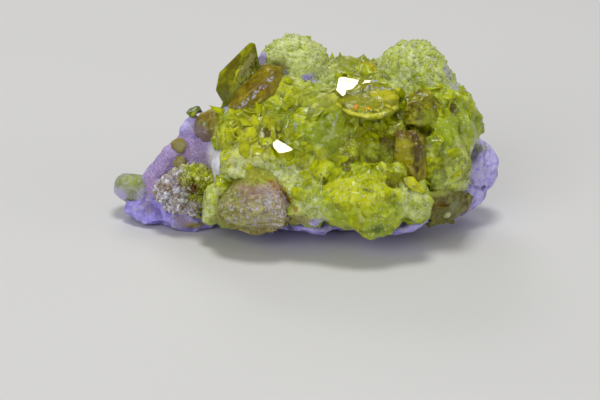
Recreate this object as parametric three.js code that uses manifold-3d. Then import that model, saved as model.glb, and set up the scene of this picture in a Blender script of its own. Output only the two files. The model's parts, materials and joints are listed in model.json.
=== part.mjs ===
// A jouravskite specimen: yellow-green crystals grown together on a pale lilac matrix rock.
// Millimetres, +Z up. X runs along the specimen, the belly of the mass faces -Y, and the flat base
// of the rock lies on Z = 0 under the middle of the specimen.
import * as THREE from 'three';
import { ConvexGeometry } from 'three/addons/geometries/ConvexGeometry.js';
import { ImprovedNoise } from 'three/addons/math/ImprovedNoise.js';
import { mergeVertices } from 'three/addons/utils/BufferGeometryUtils.js';
import Module from 'manifold-3d';

// Driving dimensions
const seatGap = 0.3; // clearance between a crystal and what it grew on
const baseCutDepth = 4; // how far the saw block reaches below the resting plane
const baseCutWidth = 60;
const noiseScale = 0.85; // waves of a rounded surface, per millimetre
const fineNoiseScale = 2.1;
const fineShare = 0.45; // of the coarse roughness
const chunkJitter = 0.08; // how far the corners of a broken chunk stray, as a share of its size
const crystalLean = 0.5; // how far small crystals lean away from the surface they grow on
const crystalSpread = 0.35; // how far their sizes stray, as a share
const crystalSunk = 0.3; // the share of a small crystal that lies below that surface
const bladeFlatness = 0.6; // thickness of a feathery blade, as a share of its width
const bladeOverlap = 0.05; // how far blades reach back over their hub, as a share of their length
const cornerClearance = 1.3; // a corner has to move further out than the faces beside it
const goldenAngle = Math.PI * (3 - Math.sqrt(5));

const wasm = await Module();
wasm.setup();
const noise = new ImprovedNoise();

// ---- solids ---------------------------------------------------------------

function solidOf(geometry) {
  const bare = geometry.clone();
  for (const name of ['normal', 'uv']) bare.deleteAttribute(name);
  const merged = mergeVertices(bare, 1e-4);
  return new wasm.Manifold(new wasm.Mesh({
    numProp: 3,
    vertProperties: merged.attributes.position.array,
    triVerts: new Uint32Array(merged.index.array),
  }));
}

function geometryOf(solid) {
  const { numProp, vertProperties, triVerts } = solid.getMesh();
  const positions = [];
  for (let i = 0; i < vertProperties.length; i += numProp) {
    positions.push(...vertProperties.subarray(i, i + 3));
  }
  const geometry = new THREE.BufferGeometry();
  geometry.setAttribute('position', new THREE.Float32BufferAttribute(positions, 3));
  geometry.setIndex([...triVerts]);
  geometry.computeVertexNormals();
  return geometry;
}

const joined = (solids) => solids.reduce((whole, next) => whole.add(next));
const cutAway = (solid, tools) => tools.reduce((rest, tool) => rest.subtract(tool), solid);

// The biggest body of a solid: cutting can leave loose chips, which a specimen sheds too.
function biggest(solid) {
  return solid.decompose().reduce((best, next) => (next.volume() > best.volume() ? next : best));
}

function turned([x, y, z] = [0, 0, 0]) {
  const { degToRad } = THREE.MathUtils;
  return new THREE.Quaternion().setFromEuler(new THREE.Euler(degToRad(x), degToRad(y), degToRad(z)));
}

// A number between -1 and 1 that looks random and is always the same for the same key.
function stray(key) {
  const wave = Math.sin(key * 127.1) * 43758.5453;
  return 2 * (wave - Math.floor(wave)) - 1;
}

const strayVector = (key) => new THREE.Vector3(stray(key), stray(key + 0.25), stray(key + 0.5));

// Vertices that faces share have to come out equal to the last digit.
const rounded = (value) => Math.round(value * 1e5) / 1e5;

// ---- forms ----------------------------------------------------------------

// A rounded lump: an icosphere stretched to size, turned, and roughened by noise.
function lump({ at, size, turn, rough = 0.25, detail = 3 }, grow = 0) {
  const geometry = new THREE.IcosahedronGeometry(1, detail);
  const place = geometry.attributes.position;
  const centre = new THREE.Vector3(...at);
  const reach = new THREE.Vector3(...size).addScalar(grow);
  const turning = turned(turn);
  const point = new THREE.Vector3();
  const outward = new THREE.Vector3();
  for (let i = 0; i < place.count; i++) {
    point.fromBufferAttribute(place, i).multiply(reach).applyQuaternion(turning);
    outward.copy(point).normalize();
    point.add(centre);
    const { x, y, z } = point;
    const coarse = noise.noise(x * noiseScale, y * noiseScale, z * noiseScale);
    const fine = noise.noise(x * fineNoiseScale, y * fineNoiseScale, z * fineNoiseScale);
    point.addScaledVector(outward, rough * (coarse + fineShare * fine));
    place.setXYZ(i, rounded(point.x), rounded(point.y), rounded(point.z));
  }
  return solidOf(geometry);
}

// A point on the unit sphere, spread by the golden angle from the top down to a lowest height.
function spreadPoint(i, count, lowest = -1) {
  const height = 1 - (1 - lowest) * (i + 0.5) / count;
  const ring = Math.sqrt(1 - height * height);
  return new THREE.Vector3(ring * Math.cos(i * goldenAngle), ring * Math.sin(i * goldenAngle), height);
}

// A chunk with flat broken faces: the hull of points spread over a stretched, turned sphere.
function chunk({ at, size, turn, corners = 26, seed = 1 }, grow = 0) {
  const turning = turned(turn);
  const points = [];
  for (let i = 0; i < corners; i++) {
    const unit = spreadPoint(i, corners).addScaledVector(strayVector(seed + i), chunkJitter);
    const corner = unit.clone().multiply(new THREE.Vector3(...size));
    corner.addScaledVector(unit.normalize(), grow).applyQuaternion(turning);
    points.push(corner.add(new THREE.Vector3(...at)));
  }
  return solidOf(new ConvexGeometry(points));
}

// A hexagonal bipyramid, the habit of jouravskite, pointing along a direction. A flatness under 1
// makes it a blade.
function bipyramid({ at, along, length, width, spin = 0, flatness = 1 }) {
  const geometry = new THREE.SphereGeometry(1, 6, 2);
  geometry.rotateY(spin);
  geometry.scale(width / 2, length / 2, width / 2 * flatness);
  const upright = new THREE.Vector3(0, 1, 0);
  const axis = new THREE.Vector3(...along).normalize();
  geometry.applyQuaternion(new THREE.Quaternion().setFromUnitVectors(upright, axis));
  geometry.translate(...at);
  return solidOf(geometry);
}

// Small crystals standing all over a form, from its top down to a lowest height.
function druse({ at, size, turn }, { count, length, width, lowest = 0, facing }) {
  const turning = turned(turn);
  const crystals = [];
  for (let i = 0; i < count; i++) {
    const unit = spreadPoint(i, count, lowest);
    const root = unit.clone().multiply(new THREE.Vector3(...size)).applyQuaternion(turning);
    const outward = unit.applyQuaternion(turning).addScaledVector(strayVector(i), crystalLean).normalize();
    if (facing && outward.dot(new THREE.Vector3(...facing)) < 0) continue;
    const growth = 1 + crystalSpread * stray(i + count);
    root.add(new THREE.Vector3(...at)).addScaledVector(outward, -crystalSunk * length);
    crystals.push(bipyramid({
      at: root.toArray(),
      along: outward.toArray(),
      length: length * growth,
      width: width * growth,
      spin: i,
    }));
  }
  return crystals;
}

// Thin blades that open like a hand of feathers from a hub, in the plane square to a direction.
function fan({ hub, square, from, to, count, length, width, lift = 0.12 }) {
  const { degToRad } = THREE.MathUtils;
  const facing = new THREE.Vector3(...square).normalize();
  const sideways = new THREE.Vector3(1, 0, 0).addScaledVector(facing, -facing.x).normalize();
  const upwards = new THREE.Vector3().crossVectors(facing, sideways);
  const blades = [];
  for (let i = 0; i < count; i++) {
    const angle = degToRad(from + (to - from) * i / (count - 1));
    const reach = length * (1 + crystalSpread * stray(i));
    const along = sideways.clone().multiplyScalar(Math.cos(angle));
    along.addScaledVector(upwards, Math.sin(angle));
    along.addScaledVector(facing, lift * stray(i + count)).normalize();
    const middle = new THREE.Vector3(...hub).addScaledVector(along, reach * (0.5 - bladeOverlap));
    blades.push(bipyramid({
      at: middle.toArray(),
      along: along.toArray(),
      length: reach,
      width,
      spin: i,
      flatness: bladeFlatness,
    }));
  }
  return blades;
}

// A flat-faced crystal from its corners, grown outwards from its middle by a clearance.
function facetted(corners, grow = 0) {
  const points = corners.map((corner) => new THREE.Vector3(...corner));
  const middle = points.reduce((sum, p) => sum.add(p), new THREE.Vector3()).divideScalar(points.length);
  const spread = points.map((p) => {
    const outward = p.clone().sub(middle).normalize();
    return p.clone().addScaledVector(outward, grow * cornerClearance);
  });
  return solidOf(new ConvexGeometry(spread));
}

// ---- the matrix rock ------------------------------------------------------

const rockLumps = [
  // the body, mostly under the crystals, and its foot
  { at: [0.8, 3.0, 4.8], size: [11.2, 5.1, 5.1], detail: 1, rough: 0.5 },
  { at: [-0.3, 1.9, 1.3], size: [10.0, 3.6, 2.0], detail: 1 },
  // the bare right end
  { at: [13.0, 4.3, 4.0], size: [2.1, 2.5, 2.4], turn: [0, 28, 0], detail: 2, rough: 0.35 },
  { at: [12.1, 3.6, 2.3], size: [2.3, 2.6, 1.7], turn: [0, -18, 0], detail: 2 },
  // the sugary shoulder
  { at: [-8.8, 3.0, 4.0], size: [2.9, 2.4, 2.3], turn: [0, -42, 0], detail: 2 },
  // the white knob and the tooth
  { at: [-9.25, 2.5, 6.9], size: [0.85, 0.9, 1.35], turn: [0, 28, 0], detail: 2, rough: 0.1 },
  { at: [-4.05, 4.0, 10.8], size: [0.55, 0.7, 2.5], turn: [0, 8, 0], detail: 1, rough: 0.05 },
];

const rockChunks = [
  // the tail
  { at: [-10.4, 1.1, 1.3], size: [2.9, 2.8, 1.7], turn: [0, 12, 8], corners: 28, seed: 2 },
  { at: [-9.4, -0.2, 0.9], size: [3.0, 2.1, 1.4], turn: [0, 4, -10], corners: 22, seed: 5 },
  { at: [-12.15, 0.85, 0.85], size: [2.35, 2.6, 1.3], turn: [0, 6, 0], corners: 22, seed: 9 },
  { at: [-11.7, 2.5, 2.9], size: [1.3, 1.5, 1.2], turn: [0, -30, 0], corners: 16, seed: 11 },
  // the bare strip at the left
  { at: [-6.5, -2.0, 5.0], size: [0.7, 1.6, 2.1], turn: [10, -8, 0], corners: 18, seed: 4 },
  // what shows under the belly
  { at: [6.4, -2.6, 2.0], size: [3.2, 2.3, 0.9], turn: [0, -10, 0], corners: 22, seed: 7 },
  { at: [-0.6, -2.6, 2.0], size: [4.4, 2.2, 0.9], turn: [0, 3, 0], corners: 22, seed: 8 },
  // ledges at the back
  { at: [4.6, 6.4, 4.4], size: [4.4, 2.0, 3.4], turn: [-12, 8, 6], corners: 26, seed: 12 },
  { at: [-3.8, 6.0, 3.6], size: [4.2, 2.1, 2.9], turn: [-8, -14, -8], corners: 26, seed: 15 },
  { at: [0.6, 6.9, 7.4], size: [3.4, 1.3, 1.8], turn: [-20, 24, 0], corners: 20, seed: 18 },
  { at: [9.8, 6.2, 4.6], size: [2.8, 1.8, 2.6], turn: [-6, 20, -14], corners: 22, seed: 21 },
];

function matrixRock(grow = 0) {
  const forms = [
    ...rockLumps.map((form) => lump(form, grow)),
    ...rockChunks.map((form) => chunk(form, grow)),
  ];
  const saw = new THREE.BoxGeometry(baseCutWidth, baseCutWidth, baseCutDepth);
  saw.translate(0, 0, -baseCutDepth / 2);
  return biggest(cutAway(joined(forms), [solidOf(saw)]));
}

// ---- the jouravskite mass -------------------------------------------------

const leftDome = { at: [-1.25, 5.4, 11.6], size: [2.75, 2.8, 2.4], detail: 2, rough: 0.2 };
const rightDome = { at: [7.9, 5.4, 11.7], size: [2.9, 2.8, 2.3], detail: 2, rough: 0.2 };
const belly = { at: [4.3, -4.3, 4.6], size: [4.2, 3.3, 2.8], corners: 48, seed: 3 };
const rightShoulder = { at: [10.6, 3.0, 8.8], size: [2.5, 2.9, 2.9], corners: 36, seed: 6 };
const leftFace = { at: [-4.2, -0.9, 7.6], size: [3.2, 2.8, 3.0], corners: 34, seed: 10 };
const middleFace = { at: [1.2, -1.2, 8.0], size: [3.6, 2.7, 3.0], corners: 34, seed: 13 };
const plateau = { at: [3.4, 1.6, 10.2], size: [5.2, 3.6, 1.9], corners: 36, seed: 16 };

const massLumps = [
  leftDome,
  rightDome,
  { at: [1.6, 0.6, 6.4], size: [8.7, 4.7, 4.4], detail: 1, rough: 0.4 }, // what the rest stands on
  { at: [-1.8, 1.6, 10.4], size: [1.8, 1.7, 1.6], detail: 2 }, // the bright lump under the left dome
];

const massChunks = [
  belly,
  rightShoulder,
  leftFace,
  middleFace,
  plateau,
  { at: [3.2, 4.8, 11.1], size: [3.2, 2.3, 1.6], corners: 26, seed: 19 }, // the saddle
  { at: [3.4, 6.6, 9.6], size: [5.0, 1.9, 2.4], turn: [-14, 0, 0], corners: 30, seed: 20 }, // down the back
  { at: [-1.9, 6.7, 9.0], size: [2.6, 1.6, 2.0], turn: [-14, 0, 0], corners: 22, seed: 23 },
  { at: [9.9, 5.6, 8.4], size: [2.6, 2.1, 2.2], corners: 24, seed: 24 },
  { at: [8.6, 1.0, 9.8], size: [2.6, 2.9, 2.0], corners: 30, seed: 22 },
  { at: [9.6, 4.8, 10.6], size: [1.9, 2.4, 2.2], corners: 24, seed: 25 }, // under the right dome
  { at: [12.6, 3.5, 8.1], size: [1.2, 1.6, 1.7], corners: 22, seed: 28 }, // the outermost bump
  // right of the hollow
  { at: [10.6, -0.5, 6.6], size: [1.9, 2.8, 3.2], turn: [0, 0, 20], corners: 34, seed: 31 },
  { at: [-5.2, 1.2, 8.9], size: [2.2, 2.0, 1.3], corners: 22, seed: 34 }, // what the blade stands on
  { at: [5.2, -5.0, 3.0], size: [2.1, 1.8, 1.3], corners: 24, seed: 37 }, // the lowest lobe of the belly
  { at: [7.9, -4.0, 4.6], size: [2.0, 2.0, 2.1], corners: 28, seed: 40 }, // its pale right rim
  { at: [0.2, -4.2, 4.4], size: [2.6, 2.6, 2.4], corners: 28, seed: 43 },
  // the rim over the brown dome and the pale ridge at its left
  { at: [-3.4, -3.5, 5.6], size: [3.3, 2.2, 1.6], turn: [0, 8, 0], corners: 30, seed: 46 },
  { at: [-6.9, -3.3, 3.2], size: [1.2, 1.6, 1.9], turn: [0, 14, 0], corners: 24, seed: 49 },
  { at: [-3.6, -4.0, 2.4], size: [3.6, 2.4, 1.2], corners: 24, seed: 52 }, // under the brown dome
];

const massPits = [
  { at: [7.9, -4.6, 7.6], size: [1.5, 2.4, 2.5], corners: 24, seed: 55 }, // the hollow of the brown crystal
  { at: [2.9, -4.4, 7.4], size: [0.5, 1.3, 0.6], corners: 12, seed: 58 },
  { at: [1.5, -4.2, 6.2], size: [0.9, 1.7, 0.6], turn: [0, 25, 0], corners: 14, seed: 61 },
  { at: [-3.2, -4.2, 9.1], size: [0.9, 1.3, 0.55], turn: [0, -20, 0], corners: 14, seed: 64 },
  { at: [6.5, -5.4, 6.5], size: [0.5, 1.2, 0.5], corners: 12, seed: 67 },
];

const saddleSpikes = [
  { at: [2.2, 4.9, 12.6], along: [-0.1, 0, 1], length: 1.5, width: 0.9 },
  { at: [4.0, 4.9, 12.6], along: [0.1, 0, 1], length: 1.5, width: 1.2 },
  { at: [5.2, 4.9, 12.5], along: [0.3, 0, 1], length: 1.3, width: 1.0 },
];

// Two hands of feathery blades on the left face.
const upperFan = {
  hub: [-3.6, -3.0, 9.0], square: [0, -1, 0.75], from: 130, to: 400, count: 12, length: 2.8, width: 1.1,
};
const lowerFan = {
  hub: [-1.0, -3.9, 6.3], square: [0, -1, 0.3], from: 100, to: 230, count: 6, length: 2.6, width: 1.0,
};

function jouravskiteMass() {
  const outFront = [0, -1, 0.2];
  return cutAway(joined([
    ...massLumps.map((form) => lump(form)),
    ...massChunks.map((form) => chunk(form)),
    ...druse(leftDome, { count: 17, length: 1.1, width: 1.0, lowest: 0 }),
    ...druse(rightDome, { count: 19, length: 1.1, width: 1.0, lowest: -0.1 }),
    ...druse(belly, { count: 15, length: 1.7, width: 1.5, lowest: -0.6, facing: outFront }),
    ...druse(rightShoulder, { count: 12, length: 1.5, width: 1.3, lowest: -0.4 }),
    ...druse(middleFace, { count: 11, length: 1.7, width: 1.4, lowest: -0.5, facing: outFront }),
    ...druse(plateau, { count: 10, length: 1.4, width: 1.4, lowest: 0.4 }),
    ...fan(upperFan),
    ...fan(lowerFan),
    ...saddleSpikes.map(bipyramid),
  ]), massPits.map((form) => chunk(form)));
}

// ---- the single crystals --------------------------------------------------

// The sharp wedge that stands up at the left: a tip, a ridge down its front and two broad faces.
const bladeCorners = [
  [-4.8, 2.3, 14.4], [-4.4, 2.3, 14.3], [-4.1, 2.4, 12.8], [-3.8, 1.9, 11.9],
  [-5.9, 2.3, 13.1], [-7.1, 1.6, 12.0], [-7.3, 1.2, 10.7], [-6.5, 0.9, 9.5], [-5.4, 0.8, 9.6],
  [-4.7, 1.8, 13.9], [-5.4, 0.9, 12.4], [-5.8, 0.4, 11.0], [-5.1, 3.4, 11.7], [-5.8, 2.7, 10.2],
];

// The long brown leaf at its foot, with a ridge along its front.
const leafCorners = [
  [-5.9, -0.5, 9.9], [-5.2, 0.2, 10.7], [-4.5, 0.9, 11.3], [-3.6, 1.7, 12.0], [-2.6, 1.8, 12.0],
  [-2.8, 0.8, 11.5], [-3.4, 0.0, 10.9], [-4.4, -0.7, 10.2], [-5.3, -0.8, 9.8],
  [-4.8, -0.7, 10.8], [-3.4, 0.5, 11.8], [-4.6, 0.8, 9.5], [-3.4, 1.4, 10.4],
];

// The clear lens on the front rim: a bright flat facet, a curved keel and a corner at each end.
const lensCorners = [
  [1.8, -1.2, 11.0], [3.0, -3.0, 10.9], [4.2, -3.7, 10.8], [5.4, -3.5, 10.8], [6.3, -2.7, 11.0],
  [6.9, -1.6, 11.2], [1.9, -0.4, 11.7], [2.0, 0.6, 12.5], [2.6, 0.8, 12.5], [3.6, 0.8, 12.4],
  [4.2, -0.6, 12.2], [5.1, -0.2, 12.3], [6.3, -0.4, 12.1], [6.7, -1.0, 11.6], [2.9, -0.5, 11.7],
  [3.0, -1.4, 10.2], [5.4, -1.6, 10.1], [4.2, 0.2, 10.6],
];

// The olive crystal at its right, broken into steps.
const oliveCorners = [
  [7.2, -1.2, 11.7], [7.9, -0.6, 12.2], [9.0, -0.4, 12.2], [9.9, -1.0, 11.4], [9.7, -1.9, 10.5],
  [8.6, -2.9, 10.2], [7.4, -2.8, 10.3], [8.2, -2.4, 11.4], [8.8, 0.2, 10.8], [7.4, -1.4, 9.8],
];

// The striated brown prism in the hollow.
const cavityCorners = [
  [7.1, -2.7, 9.6], [8.1, -2.9, 9.8], [8.7, -2.6, 9.2], [7.0, -3.4, 8.6], [8.2, -3.7, 8.8],
  [6.9, -3.6, 5.9], [8.1, -4.2, 5.8], [8.9, -3.5, 6.2], [8.8, -2.4, 6.0], [7.0, -2.2, 6.2],
  [8.6, -3.2, 8.9],
];

const tongueCorners = [
  [7.2, -4.5, 6.5], [8.0, -4.6, 6.6], [9.1, -4.7, 5.6], [8.7, -5.2, 5.5], [7.5, -4.9, 5.9],
  [8.9, -4.3, 5.1], [7.9, -4.1, 5.6],
];

// The dark translucent wedge under the right shoulder.
const footCorners = [
  [9.2, -3.3, 4.7], [10.6, -2.6, 4.9], [12.4, -0.6, 3.9], [13.0, 0.7, 3.0], [12.9, 1.2, 1.8],
  [11.2, -1.4, 1.7], [9.6, -2.7, 1.8], [9.3, -3.5, 3.2], [11.0, -2.4, 3.4], [10.4, 0.6, 4.6],
  [11.2, 1.6, 2.0], [9.4, -0.8, 1.9],
];

const brownDome = { at: [-3.8, -4.9, 4.0], size: [2.9, 2.9, 2.2], detail: 2, rough: 0.15 };
const ochreCrystal = {
  at: [-7.6, 1.5, 7.6], size: [1.3, 1.4, 1.6], turn: [0, 15, 0], corners: 34, seed: 70,
};
const tailNodule = {
  at: [-13.4, 1.6, 2.2], size: [1.7, 1.6, 1.15], turn: [0, 4, 0], detail: 2, rough: 0.18,
};
const knobCrystal = {
  at: [-8.9, 2.4, 8.4], size: [0.75, 0.7, 0.5], turn: [0, -14, 0], corners: 12, seed: 73,
};
const tailCrust = { at: [-9.4, -0.8, 2.7], size: [2.2, 1.7, 2.1], turn: [0, 30, 0], detail: 1, rough: 0.3 };

function tailDruse() {
  const ledge = { at: [-8.6, -1.4, 4.3], size: [1.5, 1.4, 1.1], corners: 20, seed: 76 };
  return joined([
    lump(tailCrust),
    chunk(ledge),
    ...druse(tailCrust, { count: 27, length: 1.3, width: 1.0, lowest: -0.8, facing: [-0.2, -1, 0.3] }),
    ...druse(ledge, { count: 9, length: 1.2, width: 0.9, lowest: -0.3, facing: [0, -1, 0.5] }),
  ]);
}

// Three small round crystals that lie flat on the shoulder: where each lies, and its radius.
const spots = [
  [[-10.0, 0.95, 6.1], 0.72],
  [[-10.8, 0.7, 4.9], 0.42],
  [[-9.9, 0.5, 5.0], 0.6],
];
const spotFlatness = 0.6;

function ochreSpot([at, radius], grow) {
  return chunk({ at, size: [radius, radius * spotFlatness, radius], turn: [-20, 0, 0], corners: 14 }, grow);
}

// ---- assembly -------------------------------------------------------------

function piece(name, solid, color, roughness, opacity = 1) {
  const material = new THREE.MeshStandardMaterial({
    color, roughness, metalness: 0, opacity, transparent: opacity < 1, flatShading: true,
  });
  const mesh = new THREE.Mesh(geometryOf(solid), material);
  mesh.name = name;
  return mesh;
}

const rockSpace = matrixRock(seatGap);

// Each single crystal stands clear of the rock and of the ones before it, and the mass of all.
const singles = [
  ['blade_crystal', (grow) => facetted(bladeCorners, grow), 0x8f9410, 0.15, 0.7],
  ['leaf_crystal', (grow) => facetted(leafCorners, grow), 0x8a6a14, 0.25, 0.8],
  ['lens_crystal', (grow) => facetted(lensCorners, grow), 0xb0ac12, 0.08, 0.6],
  ['olive_crystal', (grow) => facetted(oliveCorners, grow), 0x8a8c14, 0.15, 0.7],
  ['cavity_crystal', (grow) => facetted(cavityCorners, grow), 0x6a5416, 0.3, 0.9],
  ['tongue_crystal', (grow) => facetted(tongueCorners, grow), 0xa8a410, 0.2, 0.9],
  ['foot_crystal', (grow) => facetted(footCorners, grow), 0x6c6a14, 0.2, 0.8],
  ['brown_dome', (grow) => lump(brownDome, grow), 0xa08c5c, 0.35, 0.9],
  ['ochre_crystal', (grow) => chunk(ochreCrystal, grow), 0x8c7a20, 0.5, 0.9],
  ['tail_nodule', (grow) => lump(tailNodule, grow), 0xc4c890, 0.7, 1],
  ['knob_crystal', (grow) => chunk(knobCrystal, grow), 0x5a6a18, 0.3, 0.9],
  ...spots.map((spot, i) => [`ochre_spot_${i + 1}`, (grow) => ochreSpot(spot, grow), 0x9a8a3c, 0.6, 1]),
];

const specimen = new THREE.Group();
specimen.add(piece('matrix_rock', matrixRock(), 0xb3aacb, 0.9));

const spaces = [rockSpace];
for (const [name, form, ...finish] of singles) {
  specimen.add(piece(name, biggest(cutAway(form(0), spaces)), ...finish));
  spaces.push(form(seatGap));
}
specimen.add(piece('tail_druse', biggest(cutAway(tailDruse(), spaces)), 0xa8a070, 0.3));
specimen.add(piece('jouravskite_mass', biggest(cutAway(jouravskiteMass(), spaces)), 0xa9b02a, 0.45));

export default specimen;
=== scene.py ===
import itertools
import json
import math

import bmesh
import bpy
import numpy as np
from mathutils import Matrix, Vector
from mathutils.bvhtree import BVHTree

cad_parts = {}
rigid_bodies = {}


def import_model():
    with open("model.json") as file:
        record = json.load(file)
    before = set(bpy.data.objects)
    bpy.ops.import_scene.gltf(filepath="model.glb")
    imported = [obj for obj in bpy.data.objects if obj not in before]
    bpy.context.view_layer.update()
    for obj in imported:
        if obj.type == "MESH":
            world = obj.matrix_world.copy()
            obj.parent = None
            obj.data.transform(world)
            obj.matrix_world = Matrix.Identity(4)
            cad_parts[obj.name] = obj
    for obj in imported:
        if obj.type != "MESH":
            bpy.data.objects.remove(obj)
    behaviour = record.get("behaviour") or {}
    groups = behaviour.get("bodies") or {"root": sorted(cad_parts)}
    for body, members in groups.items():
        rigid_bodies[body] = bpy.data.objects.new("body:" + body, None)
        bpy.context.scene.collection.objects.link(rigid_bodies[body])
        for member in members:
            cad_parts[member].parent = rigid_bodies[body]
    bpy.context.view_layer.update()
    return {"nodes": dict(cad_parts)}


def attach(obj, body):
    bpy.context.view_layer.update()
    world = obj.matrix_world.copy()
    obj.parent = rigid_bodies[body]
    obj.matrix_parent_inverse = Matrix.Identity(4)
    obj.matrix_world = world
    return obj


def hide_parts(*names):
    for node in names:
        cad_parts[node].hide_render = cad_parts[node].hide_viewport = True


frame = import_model()
perMetre = 1000  # shapes are made in millimetres and set to metres when they are finished
goldenAngle = math.pi * (3 - math.sqrt(5))
crystalIor = 1.55


# Shader maths reads as plain expressions: a Flow is one node's output.
class Flow:
    def __init__(self, finish, socket):
        self.finish, self.socket = finish, socket

    def math(self, operation, *terms):
        inputs = dict(enumerate((self, *terms)))
        return self.finish.add("ShaderNodeMath", {"operation": operation}, inputs)

    def __add__(self, other): return self.math("ADD", other)
    def __sub__(self, other): return self.math("SUBTRACT", other)
    def __mul__(self, other): return self.math("MULTIPLY", other)
    def __rsub__(self, other): return self.finish.value(other).math("SUBTRACT", self)
    __radd__, __rmul__ = __add__, __mul__

    def ramp(self, low, high):  # 0 below low, 1 above high, eased between
        settings = {"interpolation_type": "SMOOTHSTEP"}
        return self.finish.add("ShaderNodeMapRange", settings, {0: self, 1: low, 2: high})


class Finish:
    def __init__(self, name):
        self.material = bpy.data.materials.new(name)
        self.material.use_nodes = True
        self.tree = self.material.node_tree
        self.tree.nodes.clear()
        self.out = self.tree.nodes.new("ShaderNodeOutputMaterial")
        place = self.add("ShaderNodeTexCoord", {}, {}, "Object")
        self.place = self.vector("SCALE", place, {3: perMetre})  # object coordinates in millimetres

    def add(self, kind, settings, inputs, output=0):
        node = self.tree.nodes.new(kind)
        for name, setting in settings.items():
            setattr(node, name, setting)
        for name, given in inputs.items():
            if isinstance(given, Flow):
                self.tree.links.new(given.socket, node.inputs[name])
            else:
                node.inputs[name].default_value = given
        return Flow(self, node.outputs[output])

    def value(self, number):
        flow = self.add("ShaderNodeValue", {}, {})
        flow.socket.default_value = number
        return flow

    def vector(self, operation, first, others, output=0):
        settings = {"operation": operation}
        return self.add("ShaderNodeVectorMath", settings, {0: first, **others}, output)

    def attribute(self, name):
        return self.add("ShaderNodeAttribute", {"attribute_name": name}, {}, "Fac")

    def noise(self, scale, detail=3, place=None, rough=0.55, warp=0):
        inputs = {"Vector": place or self.place, "Scale": scale, "Detail": detail,
                  "Roughness": rough, "Distortion": warp}
        return self.add("ShaderNodeTexNoise", {}, inputs)

    def cells(self, scale, output="Distance", place=None):
        inputs = {"Vector": place or self.place, "Scale": scale}
        return self.add("ShaderNodeTexVoronoi", {}, inputs, output)

    def warped(self, scale, amount):  # object coordinates pushed about by noise
        push = self.add("ShaderNodeTexNoise", {}, {"Vector": self.place, "Scale": scale}, "Color")
        push = self.vector("SUBTRACT", push, {1: (0.5, 0.5, 0.5)})
        return self.vector("ADD", self.vector("SCALE", push, {3: amount}), {1: self.place})

    def stretched(self, sizes):
        return self.vector("MULTIPLY", self.place, {1: sizes})

    def mix(self, mask, first, second):
        settings = {"data_type": "RGBA"}
        return self.add("ShaderNodeMix", settings, {0: mask, 6: first, 7: second}, 2)

    def shards(self, scale, place=None):  # the height of flat tilted facets, one for each cell
        place = place or self.place
        lean = self.vector("SUBTRACT", self.cells(scale, "Color", place=place), {1: (0.5, 0.5, 0.5)})
        away = self.vector("SUBTRACT", place, {1: self.cells(scale, "Position", place=place)})
        return self.vector("DOT_PRODUCT", away, {1: lean}, 1)

    def around(self, centre, radii, soft=0.35, place=None):  # 1 inside an ellipsoid
        away = self.vector("SUBTRACT", place or self.place, {1: centre})
        away = self.vector("DIVIDE", away, {1: radii})
        return self.vector("LENGTH", away, {}, 1).ramp(1 + soft, 1 - soft)

    def along(self, spots, radius, place=None):  # 1 near a line through the given spots
        nearest = None
        for start, end in zip(spots, spots[1:]):
            start, way = Vector(start), Vector(end) - Vector(start)
            away = self.vector("SUBTRACT", place or self.place, {1: start})
            share = self.vector("DOT_PRODUCT", away, {1: way / way.length_squared}, 1)
            share = self.add("ShaderNodeClamp", {}, {0: share})
            gap = self.vector("SUBTRACT", away, {1: self.vector("SCALE", (*way,), {3: share})})
            gap = self.vector("LENGTH", gap, {}, 1)
            nearest = gap if nearest is None else nearest.math("MINIMUM", gap)
        return nearest.ramp(radius, radius * 0.45)

    def bump(self, height, strength=1.0):  # heights in millimetres
        inputs = {"Height": height, "Distance": 1 / perMetre, "Strength": strength}
        return self.add("ShaderNodeBump", {}, inputs)

    def principled(self, inputs):
        return self.add("ShaderNodeBsdfPrincipled", {}, inputs)

    def done(self, shader, absorption=None):
        self.tree.links.new(shader.socket, self.out.inputs["Surface"])
        if absorption:
            colour, density = absorption
            inputs = {"Color": colour, "Density": density}
            volume = self.add("ShaderNodeVolumeAbsorption", {}, inputs)
            self.tree.links.new(volume.socket, self.out.inputs["Volume"])
        return self.material


def paint(code):  # a colour as a screen shows it, in the linear values that Blender works in
    channels = [int(code[i:i + 2], 16) / 255 for i in (0, 2, 4)]
    linear = [c / 12.92 if c < 0.04045 else ((c + 0.055) / 1.055) ** 2.4 for c in channels]
    return (*linear, 1)


# A mark's specks are (scale, level): its colour shows only where that noise is above the level
def blotch(at, size, colour, specks=None, share=0.9):
    return {"at": at, "size": size, "colour": colour, "specks": specks, "share": share}


def streak(line, width, colour, specks=None, share=0.9):
    return {"line": line, "width": width, "colour": colour, "specks": specks, "share": share}


def marked(f, colour, marks):  # details put where they are seen
    uneven = f.warped(2.2, 0.3)
    cover = None
    for mark in marks:
        if "at" in mark:
            where = f.around(mark["at"], mark["size"], place=uneven)
        else:
            where = f.along(mark["line"], mark["width"], place=uneven)
        if mark["specks"]:
            scale, least = mark["specks"]
            where = where * f.noise(scale, 4, rough=0.65).ramp(least, least + 0.06)
        where = where * mark["share"]
        colour = f.mix(where, colour, paint(mark["colour"]))
        cover = where if cover is None else cover.math("MAXIMUM", where)
    return colour, cover


# Mesh helpers, in millimetres
def linked(name, mesh):
    piece = bpy.data.objects.new(name, mesh)
    bpy.context.scene.collection.objects.link(piece)
    return piece


def solidCopy(name, *nodes):  # the solids' surfaces with their doubles merged
    form = bmesh.new()
    for node in nodes:
        form.from_mesh(frame["nodes"][node].data)
    bmesh.ops.remove_doubles(form, verts=form.verts, dist=1e-6)
    bmesh.ops.scale(form, vec=[perMetre] * 3, verts=form.verts)
    mesh = bpy.data.meshes.new(name)
    form.to_mesh(mesh)
    form.free()
    return linked(name, mesh)


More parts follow.
